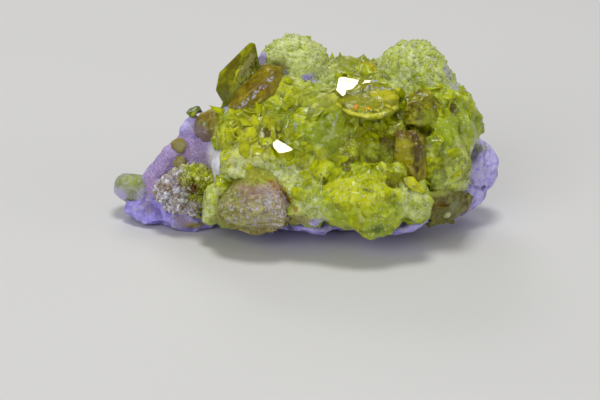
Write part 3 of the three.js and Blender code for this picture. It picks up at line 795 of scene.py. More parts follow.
# Rounded single crystals, grown down onto the rock
roundCrystals = {
    "brownDome": {
        "nodes": ["brown_dome"], "slot": "brown_crystal", "voxel": 0.08, "swell": 0.16,
        "breaks": [(2.2, 0.8), (0.8, 0.3)], "grain": 0.03, "reach": 0.6,
        "widen": (-0.2, 0.62, 0.6), "arch": 0.9, "low": 0.9, "tint": ("bea67e", "a88a44", "aca45a"),
        "marks": [
            blotch((-3.7, -6.0, 5.5), (1.5, 1.2, 0.6), "b8957c", share=0.8),
            streak([(-6.6, -4.6, 3.2), (-6.2, -4.8, 4.6), (-5.2, -4.6, 5.9)], 0.8, "8f8a14"),
            blotch((-5.8, -5.4, 2.6), (1.6, 1.6, 0.9), "8a9420", (1.4, 0.36)),
            blotch((-5.9, -6.0, 4.0), (1.5, 1.8, 1.8), "9c9c3a", (1.1, 0.4), 0.85),
            streak([(-5.6, -4.2, 6.1), (-4.4, -4.2, 6.5), (-2.8, -4.0, 6.3), (-1.6, -3.8, 5.7)], 0.6,
                   "bcbc4a", share=0.85),
            blotch((-3.8, -4.8, 6.5), (2.4, 1.8, 0.8), "b4ba2c", share=0.85),
            streak([(-2.7, -5.4, 6.0), (-1.9, -5.6, 5.3), (-1.0, -5.4, 4.2)], 0.4, "b0780e"),
            streak([(-3.2, -6.4, 4.8), (-1.9, -6.2, 4.1)], 0.4, "a8782c", (1.6, 0.4), 0.7),
            blotch((-3.4, -6.4, 2.9), (2.8, 1.8, 1.0), "b3ab62", (1.5, 0.4), 0.75),
            blotch((-3.2, -6.4, 3.9), (3.2, 1.8, 1.8), "dcd4ee", (3.6, 0.53), 0.85),
            blotch((-2.4, -6.0, 4.6), (1.8, 1.4, 1.3), "dcd6ee", (5.0, 0.52), 0.85),
            blotch((-4.6, -6.0, 3.9), (2.6, 2.0, 2.2), "c8cc7c", (2.2, 0.52), 0.7),
            # a painted glint
            blotch((-4.4, -6.4, 4.3), (0.16, 0.3, 0.14), "ffffff")]},
    "ochreCrystal": {
        "nodes": ["ochre_crystal"], "slot": "ochre_crystal", "voxel": 0.07, "swell": 0.1,
        "breaks": [(0.9, 0.35), (0.4, 0.15)], "grain": 0.03, "reach": 0.6,
        "tint": ("948218", "7c6c1c", "a59a3c"),
        "marks": [
            blotch((-8.2, 0.6, 7.2), (0.9, 1.0, 0.8), "8c767e", share=0.75),
            blotch((-6.9, 0.9, 7.6), (0.6, 0.9, 1.2), "a3a012", share=0.7),
            blotch((-7.9, 0.6, 8.6), (0.14, 0.2, 0.12), "6cc4a0"),
            blotch((-8.1, 0.5, 8.2), (0.1, 0.16, 0.1), "7cc8b0"),
            blotch((-8.2, 0.6, 7.0), (0.9, 0.8, 0.9), "cfc8da", (4.0, 0.62))]},
    "ochreSpots": {
        "nodes": ["ochre_spot_1", "ochre_spot_2", "ochre_spot_3"], "slot": "ochre_crystal",
        "voxel": 0.06, "swell": 0.03, "breaks": [(0.4, 0.06)], "grain": 0.02, "reach": 0.3,
        "melt": 20, "lift": 0.08, "flat": ((-0.25, -0.9, 0.35), 0.65),
        "tint": ("8a8034", "9c9250", "a898a4")},
    "tailNodule": {
        "nodes": ["tail_nodule"], "slot": "nodule", "voxel": 0.08, "swell": 0.1,
        "breaks": [(1.0, 0.14)], "grain": 0.035, "reach": 1.0, "tint": ("a2a78c", "8d9658"),
        "marks": [
            blotch((-13.2, 0.8, 3.2), (0.9, 1.1, 0.4), "9cae34", share=0.7),
            blotch((-14.6, 0.6, 1.9), (0.8, 1.0, 0.7), "c4bce0"),
            blotch((-12.6, 0.4, 2.0), (0.6, 1.0, 0.6), "b9b2d2", share=0.8),
            blotch((-13.4, 0.0, 1.5), (0.7, 0.7, 0.3), "6e6a30", (2.5, 0.45)),
            blotch((-13.6, 0.4, 2.6), (1.6, 1.2, 1.0), "d9d6e4", (2.6, 0.56), 0.7)]},
    "knobCrystal": {
        "nodes": ["knob_crystal"], "slot": "green_crystal", "voxel": 0.05, "swell": 0.03,
        "breaks": [(0.5, 0.12)], "grain": 0.02, "reach": 0.3, "tint": ("3f5414", "6b7c18"),
        "marks": [
            blotch((-8.8, 1.5, 8.5), (0.42, 0.5, 0.22), "c3c83a"),
            blotch((-9.2, 1.7, 8.8), (0.2, 0.3, 0.12), "b9c49a", share=0.7)]},
}


def makeRound(name, look):
    piece = remeshed(solidCopy(name, *look["nodes"]), look["voxel"])
    if "melt" in look:
        melted(piece, np.ones(len(piece.data.vertices)), look["melt"])
    places, facing = placesOf(piece), normalsOf(piece)
    height = look["swell"] * waves(places, 0.9, 11) + look["grain"] * waves(places, 3.6, 12)
    height += look.get("lift", 0)
    for size, depth in look["breaks"]:
        height += depth * breaks(places, size, 13)
    places += facing * height[:, None]
    if "flat" in look:  # pressed towards the slope it lies on
        axis, share = look["flat"]
        over = (places - places.mean(0)) @ np.array(axis)
        places -= (over * share)[:, None] * np.array(axis)
    if "widen" in look:  # it spreads towards its foot, is arched on top, and its front lies back
        side, foot, rise = look["widen"]
        down = (places[:, 2].max() - places[:, 2]) / np.ptp(places[:, 2])
        across = (places[:, 0] - places[:, 0].mean()) / (0.5 * np.ptp(places[:, 0]))
        places[:, 0] += (places[:, 0] - places[:, 0].mean()) * (side + foot * down)
        places[:, 2] += (rise - look["arch"] * np.minimum(across**2, 1.2)) * (1 - down)
        places[:, 1] = places[:, 1].max() + (places[:, 1] - places[:, 1].max()) * look["low"]
    movePlaces(piece, places)
    grownOnto(piece, [rock], look["reach"])
    return piece


def glossy(f, colour, height, gloss, coat=0.2):  # half-clear and a little waxy
    shader = f.principled({
        "Base Color": colour, "Roughness": f.noise(2.0, 3) * 0.25 + gloss, "IOR": crystalIor,
        "Specular IOR Level": 0.4, "Subsurface Weight": 0.5, "Subsurface Radius": (1.0, 0.8, 0.3),
        "Subsurface Scale": 0.0008, "Coat Weight": coat, "Coat Roughness": 0.12,
        "Normal": f.bump(height, 0.8)})
    return f.done(shader)


def domeFinish(look):
    f = Finish("agateDome")
    pale, brown, green = map(paint, look["tint"])
    bands = f.noise(0.9, 5, f.stretched((0.8, 0.8, 1.6)), warp=1.2)
    colour = f.mix(bands.ramp(0.38, 0.62), pale, brown)
    colour = f.mix(f.noise(1.7, 4).ramp(0.46, 0.62) * 0.7, colour, green)
    colour, _ = marked(f, colour, look["marks"])
    height = bands * 0.3 + f.noise(3.0, 6, rough=0.7) * 0.2 + f.shards(1.0) * 0.9 + f.shards(2.6) * 1.1
    return glossy(f, colour, height, 0.24, 0.1)


def ochreFinish(look):
    f = Finish("ochreCrystal")
    ochre, deep, light = map(paint, look["tint"])
    colour = f.mix(f.noise(1.3, 5).ramp(0.38, 0.62), ochre, deep)
    colour = f.mix(f.noise(3.2, 4).ramp(0.52, 0.7) * 0.6, colour, light)
    colour, _ = marked(f, colour, look["marks"])
    return glossy(f, colour, f.shards(2.2) * 0.6 + f.noise(4.0, 4) * 0.06, 0.3)


def spotFinish(look):
    f = Finish("ochreSpots")
    ochre, light, dust = map(paint, look["tint"])
    colour = f.mix(f.noise(2.2, 4).ramp(0.4, 0.6), ochre, light)
    colour = f.mix(f.noise(6.0, 3).ramp(0.6, 0.7) * 0.5, colour, dust)
    return glossy(f, colour, f.noise(4.5, 5, rough=0.7) * 0.1, 0.45)


def noduleFinish(look):
    f = Finish("paleNodule")
    colour = f.mix(f.noise(1.0, 5).ramp(0.4, 0.6), *map(paint, look["tint"]))
    colour, _ = marked(f, colour, look["marks"])
    return glossy(f, colour, f.noise(2.4, 5, rough=0.65) * 0.2 + f.shards(1.8) * 0.3, 0.38)


def capFinish(look):
    f = Finish("greenCap")
    colour = f.mix(f.noise(2.0, 4).ramp(0.4, 0.6), *map(paint, look["tint"]))
    colour, _ = marked(f, colour, look["marks"])
    return glossy(f, colour, f.shards(2.6) * 0.5, 0.1)


print("rounded crystals")
rounds = {name: makeRound(name, look) for name, look in roundCrystals.items()}
finishMakers = {"brownDome": domeFinish, "ochreCrystal": ochreFinish, "ochreSpots": spotFinish,
                "tailNodule": noduleFinish, "knobCrystal": capFinish}
roundFinishes = {name: make(roundCrystals[name]) for name, make in finishMakers.items()}


# The jouravskite mass: the solid with its hollows filled, broken into facets as one skin
massShape = {
    "fills": [((0.8, 1.6, 5.2), (8.4, 3.4, 4.2)),  # the inside first, then the floors of the hollows
              ((1.5, -3.5, 6.2), (1.4, 1.6, 1.2)), ((6.6, -4.0, 6.6), (1.0, 1.2, 0.9)),
              ((2.8, -3.0, 7.6), (1.1, 1.0, 0.9)), ((-2.2, 0.5, 9.9), (2.4, 1.2, 1.0)),
              ((-3.2, 2.6, 11.8), (1.1, 1.0, 0.6)), ((-4.2, -3.4, 7.2), (2.5, 1.1, 1.1)),
              ((-1.7, -4.2, 5.3), (0.9, 0.9, 0.9)), ((-6.2, -3.7, 4.9), (0.8, 0.9, 0.9)),
              ((2.7, -3.6, 7.0), (0.9, 0.8, 0.7)), ((10.3, -0.9, 8.4), (1.5, 1.7, 2.5)),
              ((11.7, 0.8, 8.2), (1.4, 2.0, 2.1)), ((11.3, -0.6, 6.2), (1.0, 1.6, 1.6)),
              ((10.6, -1.6, 5.6), (1.6, 1.6, 1.3)), ((9.6, 0.8, 10.8), (1.4, 1.6, 1.2)),
              ((9.6, -1.9, 7.8), (0.6, 1.4, 2.2)), ((6.4, -1.6, 9.4), (1.2, 1.4, 0.8)),
              ((9.3, -0.9, 9.9), (1.1, 1.3, 0.9)), ((11.0, -1.0, 7.2), (1.3, 1.6, 1.6))],
    "voxel": 0.1,
    "triangles": 186000,
    "swell": 0.12,
    "breaks": [(1.9, 0.55, 41), (0.8, 0.28, 42), (0.4, 0.1, 43)],  # facet size, depth and seed
    "grain": 0.02,
    "frostGrain": 0.035,
    "fanHub": (-3.4, -2.8, 9.3),
    "fanPlane": ((1, 0, 0), (0, 0.6, 0.8)),
    "fanDepth": 0.09,
    "melt": {"fan": 0.9, "saddle": 0.6, "shoulder": 1.0},  # zones and how far each is smoothed
    "meltRounds": 30,
    "relief": (14, 0.3),  # rounds of blurring, and the depth that counts as full relief
    "zones": {
        "frost": [((-0.9, 4.4, 12.2), (3.1, 3.4, 2.4)), ((7.9, 4.8, 12.4), (3.4, 3.6, 2.7)),
                  ((-5.4, -4.6, 6.5), (2.0, 1.6, 0.9)), ((-3.0, -4.8, 6.5), (2.2, 1.6, 0.9)),
                  ((-0.5, -5.2, 5.8), (1.6, 1.6, 1.3)), ((0.4, -6.2, 4.0), (1.5, 1.3, 1.5)),
                  ((8.4, -5.4, 5.0), (1.3, 1.7, 1.7)), ((10.9, 4.2, 11.6), (1.1, 1.8, 1.1)),
                  ((11.6, -2.0, 6.4), (2.0, 2.6, 2.2)), ((-7.2, -3.6, 3.4), (1.2, 1.5, 1.7)),
                  ((-4.5, -5.4, 1.9), (2.2, 1.1, 0.8)), ((9.3, -2.4, 6.6), (0.5, 1.6, 1.7))],
        "olive": [((3.6, 3.9, 12.3), (2.4, 2.4, 1.3)), ((3.4, -3.2, 8.9), (2.4, 1.8, 1.5)),
                  ((7.4, -2.6, 8.0), (2.2, 2.6, 2.6)), ((-3.0, 1.6, 11.6), (1.7, 1.7, 0.8)),
                  ((-3.6, -2.2, 9.2), (2.6, 1.8, 1.3))],
        "green": [((1.5, -3.0, 9.2), (1.3, 2.2, 2.5)), ((5.6, -6.6, 3.0), (1.3, 1.3, 0.8)),
                  ((11.6, 0.0, 9.4), (2.0, 2.6, 2.0)), ((12.8, 3.2, 8.6), (1.2, 1.8, 1.6)),
                  ((-1.6, 6.6, 13.6), (2.0, 2.4, 0.7))],
        "gold": [((-4.4, -2.8, 8.0), (2.6, 2.2, 1.7)), ((-1.9, 0.8, 10.9), (1.8, 1.7, 1.3)),
                 ((4.4, 3.7, 12.3), (0.8, 0.9, 0.5)), ((5.9, -4.2, 7.2), (0.8, 1.0, 0.7)),
                 ((4.0, -6.0, 6.0), (3.0, 2.2, 1.2)),
                 ((3.2, 1.0, 11.6), (1.4, 1.6, 0.8))],
        "brown": [((-3.1, -3.1, 9.2), (0.9, 0.9, 0.4)), ((7.4, -2.0, 9.2), (1.3, 1.5, 0.6)),
                  ((2.8, -3.7, 7.6), (0.6, 0.9, 0.6)), ((1.4, -3.0, 6.0), (0.9, 1.2, 0.6)),
                  ((6.7, -3.9, 6.5), (0.5, 0.9, 0.5)), ((-6.6, -3.0, 4.2), (0.6, 1.2, 0.5))],
        "lilac": [((-0.2, 2.9, 11.4), (0.55, 0.9, 0.4)), ((-1.4, -2.8, 9.1), (0.3, 0.5, 0.5)),
                  ((-6.6, 0.6, 9.5), (0.5, 0.7, 0.3)), ((-2.3, 2.6, 11.9), (0.35, 0.6, 0.35)),
                  ((5.6, 4.1, 13.2), (0.25, 0.4, 0.2)), ((5.2, 1.6, 12.1), (0.5, 0.5, 0.3)),
                  ((0.8, -6.3, 3.1), (1.0, 0.9, 0.4)), ((-4.8, -5.4, 1.6), (0.6, 0.6, 0.3))],
        "fan": [((-3.4, -2.6, 8.9), (3.2, 2.4, 2.6)), ((-1.2, -4.2, 6.8), (2.0, 1.6, 1.6))],
        "saddle": [((3.6, 4.8, 12.8), (2.2, 3.0, 1.4))],
        "shoulder": [((11.0, -0.8, 7.6), (2.4, 2.8, 3.2))],
    },
    "colours": {
        "body": "bfd000", "fresh": "a8c000", "deep": "7a8800", "pale": "cedd58", "gold": "e0e200",
        "olive": "969600", "brown": "6a5204", "lilac": "c4bcee", "green": "8c9e00",
        "icing": "ecf2bc", "sparkle": "eeeef4", "speck": "f0f0e6"},
    "marks": [
        streak([(-3.4, -1.3, 10.3), (-2.0, -1.0, 10.1), (-0.6, -1.9, 10.1)], 0.16, "d0d0a4", share=0.8),
        streak([(9.0, -0.9, 8.6), (9.1, -1.2, 7.4), (9.0, -1.5, 5.8)], 0.22, "c9c8a6", share=0.85),
        streak([(10.3, 4.2, 12.5), (10.9, 3.4, 12.0), (11.3, 2.6, 11.4)], 0.55, "b4b6b4", (1.6, 0.4)),
        streak([(9.8, 1.6, 11.7), (10.6, 1.2, 11.1)], 0.4, "55480c", (2.6, 0.5)),
        streak([(7.7, -5.0, 6.0), (9.0, -5.3, 5.0), (9.3, -5.3, 3.6)], 0.3, "bcc27a", share=0.8),
        blotch((-3.3, 1.4, 10.2), (0.5, 0.5, 0.3), "c6bfd8", (3.4, 0.45)),
        streak([(2.1, -2.6, 10.6), (1.8, -3.3, 9.6)], 0.13, "c2b9c6", (2.4, 0.4)),
        streak([(-1.1, -2.3, 9.6), (-1.7, -3.3, 8.6)], 0.35, "b8aede", (3.6, 0.52)),
        blotch((-4.9, -3.9, 7.2), (2.0, 1.6, 1.0), "eef09a", (1.7, 0.46), 0.65),
        blotch((-2.6, -3.7, 8.6), (1.5, 1.0, 0.9), "5c4a0a", (1.3, 0.47), 0.75),
        streak([(-7.1, -1.4, 6.2), (-6.8, -3.1, 5.6), (-6.3, -3.4, 4.9)], 0.55, "c4bce4", share=0.85),
        streak([(-2.5, -4.8, 5.9), (-1.8, -5.0, 5.3), (-1.1, -5.3, 4.6), (-0.6, -6.4, 4.3)], 0.4,
               "b08a10", share=0.85),
        blotch((-3.0, -4.5, 6.5), (2.8, 1.2, 0.7), "f0f2cc", (2.4, 0.5), 0.65),
        blotch((-0.6, 3.6, 12.7), (2.6, 2.6, 1.6), "eaf2a4", (1.6, 0.42), 0.5),
        blotch((0.6, -0.6, 11.2), (1.8, 1.6, 1.0), "d6dc4c", (1.4, 0.42), 0.5),
        blotch((-0.2, 2.9, 11.4), (0.8, 1.1, 0.5), "bcb0f4", (2.0, 0.45), 0.95),
        blotch((1.7, -3.1, 9.3), (1.2, 1.5, 2.0), "8c9a00", share=0.5),
        blotch((3.3, 4.2, 12.3), (2.2, 2.2, 0.9), "959c04", (0.9, 0.42), 0.6),
        blotch((4.4, 3.7, 12.3), (0.7, 0.8, 0.4), "d8c20e", share=0.8),
        blotch((-0.4, -5.8, 3.0), (0.9, 1.4, 1.2), "b0a45e", (1.4, 0.4), 0.75),
        blotch((-6.0, -5.2, 2.0), (1.4, 1.6, 0.8), "85901a", (1.4, 0.4), 0.8),
        streak([(-3.2, -2.0, 9.8), (-4.4, -1.8, 9.9), (-5.6, -1.8, 9.2)], 0.3, "7a6e06", (1.8, 0.45),
               0.7),
        blotch((6.4, -2.6, 8.8), (1.0, 1.2, 0.9), "6a5608", (1.6, 0.46), 0.8),
        blotch((-2.9, 2.4, 12.2), (1.3, 1.2, 0.5), "6e6408", share=0.8),
        blotch((0.4, -4.2, 7.4), (1.3, 1.4, 1.0), "d4d61a", (1.2, 0.4), 0.6),
        blotch((1.4, -4.6, 6.2), (1.1, 1.1, 0.6), "46390a", (2.8, 0.52), 0.85),
        blotch((6.4, -5.0, 6.6), (0.9, 0.9, 0.5), "a8a60c", (2.0, 0.4), 0.8),
        blotch((2.9, -4.0, 7.4), (0.8, 0.9, 0.4), "54460a", (3.0, 0.52), 0.8),
        blotch((11.4, -2.2, 6.6), (1.7, 2.0, 2.2), "848c1a", (1.1, 0.46), 0.8),
        streak([(12.4, 0.6, 7.8), (12.0, -1.0, 6.4), (12.0, -1.4, 4.8)], 1.1, "dcdcd6", (2.4, 0.5),
               0.85),
        blotch((5.7, -6.7, 3.1), (0.7, 0.6, 0.4), "4d6608", (2.2, 0.42), 0.8)],
}


def makeMass(shape, neighbours):
    zones = shape["zones"]
    fills = [ellipsoid(*fill) for fill in shape["fills"]]
    mass = remeshed(absorbed(solidCopy("jouravskite", "jouravskite_mass"), fills), shape["voxel"])
    places = placesOf(mass)
    shares = [share * zone(places, zones[name]) for name, share in shape["melt"].items()]
    melted(mass, np.max(shares, axis=0), shape["meltRounds"])
    places = placesOf(mass)
    facing = blurred(mass, normalsOf(mass), 4)
    fan, frost = zone(places, zones["fan"]), zone(places, zones["frost"])
    height = shape["swell"] * waves(places, 0.7, 21) + shape["grain"] * waves(places, 3.2, 22)
    for size, depth, seed in shape["breaks"]:
        height += depth * breaks(places, size, seed) * (1 - 0.7 * fan) * (1 - 0.3 * frost)
    plane = [np.array(axis, float) for axis in shape["fanPlane"]]
    bent = places + 0.5 * np.stack([waves(places, 0.9, seed) for seed in (25, 26, 27)], 1)
    rays, reach = radial(bent, np.array(shape["fanHub"]), *plane)
    height += shape["fanDepth"] * fan * waves(rays, 4.0, 23) * eased(0.5, 2.0, reach)
    height += shape["frostGrain"] * frost * waves(places, 4.4, 24)
    movePlaces(mass, places + facing * height[:, None])
    grownOnto(mass, neighbours)
    thinned(mass, shape["triangles"])
    places = placesOf(mass)
    storeRelief(mass, places, *shape["relief"])
    for name, blobs in zones.items():
        store(mass, name, zone(places, blobs))
    return mass




def massFinish(shape):
    f = Finish("jouravskite")
    tint = {name: paint(code) for name, code in shape["colours"].items()}
    relief, frost, fan = f.attribute("relief"), f.attribute("frost"), f.attribute("fan")
    colour = f.mix(f.noise(0.42, 4).ramp(0.4, 0.6), tint["body"], tint["fresh"])
    patch = f.cells(0.9, "Color", place=f.warped(0.9, 0.9))
    colour = f.mix(patch.ramp(0.5, 0.8) * 0.5, colour, tint["deep"])
    colour = f.mix(patch.ramp(0.45, 0.2) * 0.4, colour, tint["gold"])
    colour = f.mix(f.attribute("gold") * 0.75, colour, tint["gold"])
    olive = f.attribute("olive")
    colour = f.mix(olive * f.noise(1.1, 4).ramp(0.35, 0.6) * 0.85, colour, tint["olive"])
    colour = f.mix(f.attribute("green") * 0.7, colour, tint["green"])
    # painted shade: the hollows darken to deep yellow and the deepest to brown
    colour = f.mix(relief.ramp(0.5, 0.16) * 0.8, colour, tint["deep"])
    colour = f.mix(relief.ramp(0.3, 0.0) * 0.7, colour, tint["brown"])
    brown = f.attribute("brown") * f.noise(1.6, 4).ramp(0.3, 0.56)
    brown = brown.math("MAXIMUM", olive * f.noise(0.9, 5).ramp(0.58, 0.68) * 0.7)
    colour = f.mix(brown, colour, tint["brown"])
    bloom = f.noise(1.5, 5, rough=0.7).ramp(0.3, 0.6)
    colour = f.mix(frost * bloom * 0.9, colour, tint["pale"])
    icing = f.noise(2.2, 6, rough=0.75).ramp(0.46, 0.58)
    colour = f.mix(frost * icing * 0.75, colour, tint["icing"])
    # painted glints: white sparkles over the frosted zones
    sparkle = f.noise(5.0, 4, rough=0.7).ramp(0.56, 0.64)
    colour = f.mix(frost * sparkle * 0.7, colour, tint["sparkle"])
    colour = f.mix(f.noise(2.8, 5, rough=0.7).ramp(0.62, 0.78) * 0.4, colour, tint["pale"])
    # a painted highlight pales the ridges
    colour = f.mix(relief.ramp(0.66, 1.0) * 0.3, colour, tint["pale"])
    flakes = f.shards(1.7, f.warped(1.4, 0.35)) * 0.9 + f.shards(4.2, f.stretched((1, 1, 0.6)))
    grain = f.noise(3.4, 5, rough=0.75)
    calm = 1 - f.attribute("green") * 0.65
    # painted highlight on the high spots of the facets' bump and painted shade in its low spots
    facetLightAndShade = flakes * 2 + grain
    colour = f.mix(facetLightAndShade.ramp(0.5, 0.8) * 0.45 * calm, colour, tint["pale"])
    colour = f.mix(facetLightAndShade.ramp(0.42, 0.16) * (0.55 - frost * 0.3) * calm, colour, tint["deep"])
    colour = f.mix(f.noise(3.0, 3, rough=0.6).ramp(0.7, 0.73) * 0.8, colour, tint["lilac"])
    # painted glints: tiny white specks all over
    colour = f.mix(f.noise(7.0, 2).ramp(0.63, 0.69) * 0.8, colour, tint["speck"])
    colour = f.mix(f.attribute("lilac") * f.noise(2.6, 3).ramp(0.36, 0.46), colour, tint["lilac"])
    colour, _ = marked(f, colour, shape["marks"])
    offset = f.vector("SUBTRACT", f.warped(0.9, 1.1), {1: shape["fanHub"]})
    across, upward = (f.vector("DOT_PRODUCT", offset, {1: axis}, 1) for axis in shape["fanPlane"])
    flat = f.add("ShaderNodeCombineXYZ", {}, {0: across, 1: upward})
    reach = f.vector("LENGTH", flat, {}, 1)
    rays = f.vector("ADD", f.vector("NORMALIZE", flat, {}),
                    {1: f.add("ShaderNodeCombineXYZ", {}, {2: reach * 0.12})})
    feather = f.noise(6.0, 4, rays)
    colour = f.mix(fan * feather.ramp(0.54, 0.74) * 0.4, colour, tint["pale"])
    colour = f.mix(fan * feather.ramp(0.46, 0.28) * 0.6, colour, tint["deep"])
    height = (f.shards(0.8, f.warped(0.9, 0.5)) * 0.5 * (1 - frost * 0.5) + flakes * calm
              + grain * 0.12 * calm + f.cells(4.6) * frost * 0.08 + feather * fan * 0.16)
    shader = f.principled({
        "Base Color": colour, "Roughness": f.noise(1.8, 3) * 0.22 + frost * 0.14 + 0.1,
        "IOR": crystalIor, "Specular IOR Level": 0.22, "Subsurface Weight": 0.45,
        "Subsurface Radius": (1.0, 0.95, 0.1), "Subsurface Scale": 0.0006,
        "Coat Weight": 0.4 - frost * 0.25, "Coat Roughness": 0.07, "Normal": f.bump(height, 0.8)})
    return f.done(shader)


print("jouravskite mass")
neighbours = [rock, *clears.values(), *rounds.values()]
mass = makeMass(massShape, neighbours)
massMaterial = massFinish(massShape)


# The sparkling druse on the tail
druseShape = {
    "voxel": 0.13,
    "breaks": (0.7, 0.5, 14),  # facet size, depth and seed
    "crystals": {"Density": 24.0, "Length": 0.4, "Spread": 0.55, "Lean": 0.8, "Seed": 3},
    "pale": [((-11.0, -1.6, 3.4), (1.9, 2.2, 2.2)), ((-9.8, -2.6, 2.0), (2.0, 1.6, 1.2))],
    "brown": [((-8.6, -2.4, 3.9), (0.5, 0.9, 0.6)), ((-7.3, -2.6, 3.2), (0.6, 1.2, 0.6))],
    "colours": {"green": "dce62a", "greenDeep": "b6be10", "pale": "eadfe4", "rose": "c2aa8c",
                "brown": "74521a", "white": "fcf8fe"},
}


def druseFinish(shape):
    f = Finish("druse")
    tint = {name: paint(code) for name, code in shape["colours"].items()}
    tone, pale = f.attribute("tone"), f.attribute("pale")
    colour = f.mix(tone.ramp(0.1, 0.7), tint["greenDeep"], tint["green"])
    light = f.mix(f.noise(1.4, 4).ramp(0.4, 0.6), tint["rose"], tint["pale"])
    colour = f.mix(pale, colour, light)
    colour = f.mix(f.attribute("brown"), colour, tint["brown"])
    colour = f.mix(tone.ramp(0.76, 0.84) * (pale * 0.7 + 0.2), colour, tint["white"])
    clear = f.principled({
        "Base Color": colour, "Roughness": 0.06, "Transmission Weight": 1.0, "IOR": crystalIor})
    solid = f.principled({
        "Base Color": colour, "Roughness": 0.16, "IOR": crystalIor, "Coat Weight": 0.5,
        "Coat Roughness": 0.04, "Subsurface Weight": 0.5, "Subsurface Radius": (1.0, 0.9, 0.4),
        "Subsurface Scale": 0.0006, "Normal": f.bump(f.shards(3.0) * 0.6, 0.7)})
    return f.done(f.add("ShaderNodeMixShader", {}, {0: tone * 0.3 + 0.6, 1: clear, 2: solid}))


def makeDruse(shape):
    host = remeshed(solidCopy("tailDruse", "tail_druse"), shape["voxel"])
    places = placesOf(host)
    size, depth, seed = shape["breaks"]
    height = depth * breaks(places, size, seed) + 0.05 * waves(places, 3.0, 15)
    movePlaces(host, places + normalsOf(host) * height[:, None])
    grownOnto(host, [rock])
    room = 1 - eased(0.55, 0.8, nearness(host, [rock], 0.8))
    given = {**shape["crystals"], "Crystals": druseForms}
    crystals = grown("druseCrystals", host, room, np.ones(len(room)), druseMaterial, given)
    for piece in (host, crystals):
        places = placesOf(piece)
        store(piece, "pale", zone(places, shape["pale"]))
        store(piece, "brown", zone(places, shape["brown"]))
    store(host, "tone", 0.4 + 0.4 * waves(placesOf(host), 2.0, 31))
    return host, crystals


print("druse")
druseMaterial = druseFinish(druseShape)
druseBed, druseCrystals = makeDruse(druseShape)


# Sugar of small crystals on the two domes and on the frosted rims
sugarShape = {
    "growth": {"Density": 9.0, "Length": 0.2, "Spread": 0.5, "Lean": 0.8, "Seed": 12},
    "where": [((-1.1, 5.0, 12.2), (3.4, 4.2, 2.6)), ((7.9, 5.2, 12.4), (3.8, 4.2, 2.8)),
              ((-3.4, -4.8, 6.7), (2.8, 1.4, 0.8)), ((-0.3, -5.4, 5.6), (1.4, 1.4, 1.5)),
              ((0.6, -6.4, 3.8), (1.1, 1.0, 1.1)), ((8.9, -5.3, 4.9), (0.9, 1.2, 1.2)),
              ((12.0, -1.2, 6.0), (1.0, 1.6, 1.8))],
}


def makeSugar(shape):
    host = linked("sugarHost", mass.data.copy())
    edge = 1 - eased(0.1, 0.5, nearness(host, neighbours, 0.5))
    room = zone(placesOf(host), shape["where"], 0.15, 0.15) * edge
    given = {**shape["growth"], "Crystals": stubbyForms}
    sugar = grown("domeSugar", host, room, np.ones(len(room)), massMaterial, given)
    bpy.data.objects.remove(host)
    places = placesOf(sugar)
    for name, blobs in massShape["zones"].items():
        store(sugar, name, zone(places, blobs))
    # a made-up relief, mostly high, so the mass finish paints little shade and some highlight on the sugar
    store(sugar, "relief", 0.78 + 0.14 * waves(places, 1.6, 33))
    return sugar


print("dome sugar")
domeSugar = makeSugar(sugarShape)


# Angular flakes half sunk in the mass, clear enough to show it through them
flakeShape = {
    "growth": {"Density": 1.7, "Length": 0.55, "Spread": 0.6, "Lean": 0.32, "Seed": 5},
    "bald": [((4.4, -6.4, 4.6), (3.8, 3.0, 2.4)), ((8.6, -5.0, 4.6), (1.8, 2.0, 2.0)),
             ((1.0, -6.0, 4.0), (2.4, 2.0, 2.6)), ((3.6, 5.4, 13.0), (2.6, 3.0, 1.2)),
             ((-1.1, 5.0, 12.2), (3.6, 4.4, 3.0)), ((7.9, 5.2, 12.4), (4.0, 4.4, 3.2)),
             ((12.8, 2.6, 9.0), (1.6, 2.4, 2.0))],
    "rough": 0.06, "veil": 0.68, "absorb": ((0.9, 0.9, 0.02, 1), 50),
    "tint": ("fafea6", "d0dc0c", "a8b206"), "grain": (1.6, 1.6, 1.0),
    "marks": [
        blotch((-4.6, -2.6, 8.0), (2.8, 2.4, 2.4), "ecea2a", share=0.7),
        blotch((1.0, -1.0, 11.2), (2.0, 1.8, 1.0), "eef07a", share=0.6),
        blotch((1.6, -3.2, 9.4), (1.6, 2.0, 2.6), "9cb00a", share=0.6),
        blotch((3.4, -3.2, 8.8), (2.0, 2.0, 1.4), "a4a008", share=0.6),
        blotch((7.2, -3.0, 9.2), (1.8, 2.0, 1.0), "a08a0a", share=0.6)],
}


def makeFlakes(shape):
    host = linked("flakeHost", mass.data.copy())
    places = placesOf(host)
    frost, green = (zone(places, massShape["zones"][name]) for name in ("frost", "green"))
    edge = eased(0.1, 0.5, nearness(host, neighbours, 0.5))
    room = 1 - np.maximum(0.85 * frost, edge)
    room *= (1 - 0.92 * zone(places, shape["bald"])) * eased(2.4, 3.4, places[:, 2])
    room *= 1 - 0.75 * green
    size = 1 + 0.35 * waves(places, 0.6, 44)
    given = {**shape["growth"], "Crystals": flakeForms}
    flakes = grown("massFlakes", host, room, size, massMaterial, given)
    bpy.data.objects.remove(host)
    return flakes


print("flakes")
massFlakes = makeFlakes(flakeShape)


# Fine grains that roughen the brown dome
grainShape = {"Density": 16.0, "Length": 0.15, "Spread": 0.5, "Lean": 0.8, "Seed": 8}


def makeGrains(shape):
    host = linked("grainHost", rounds["brownDome"].data.copy())
    room = 1 - eased(0.5, 0.8, nearness(host, [rock], 0.5))
    size = 1 + 0.4 * waves(placesOf(host), 1.1, 45)
    given = {**shape, "Crystals": stubbyForms}
    grains = grown("domeGrains", host, room, size, roundFinishes["brownDome"], given)
    bpy.data.objects.remove(host)
    return grains


print("dome grains")
domeGrains = makeGrains(grainShape)


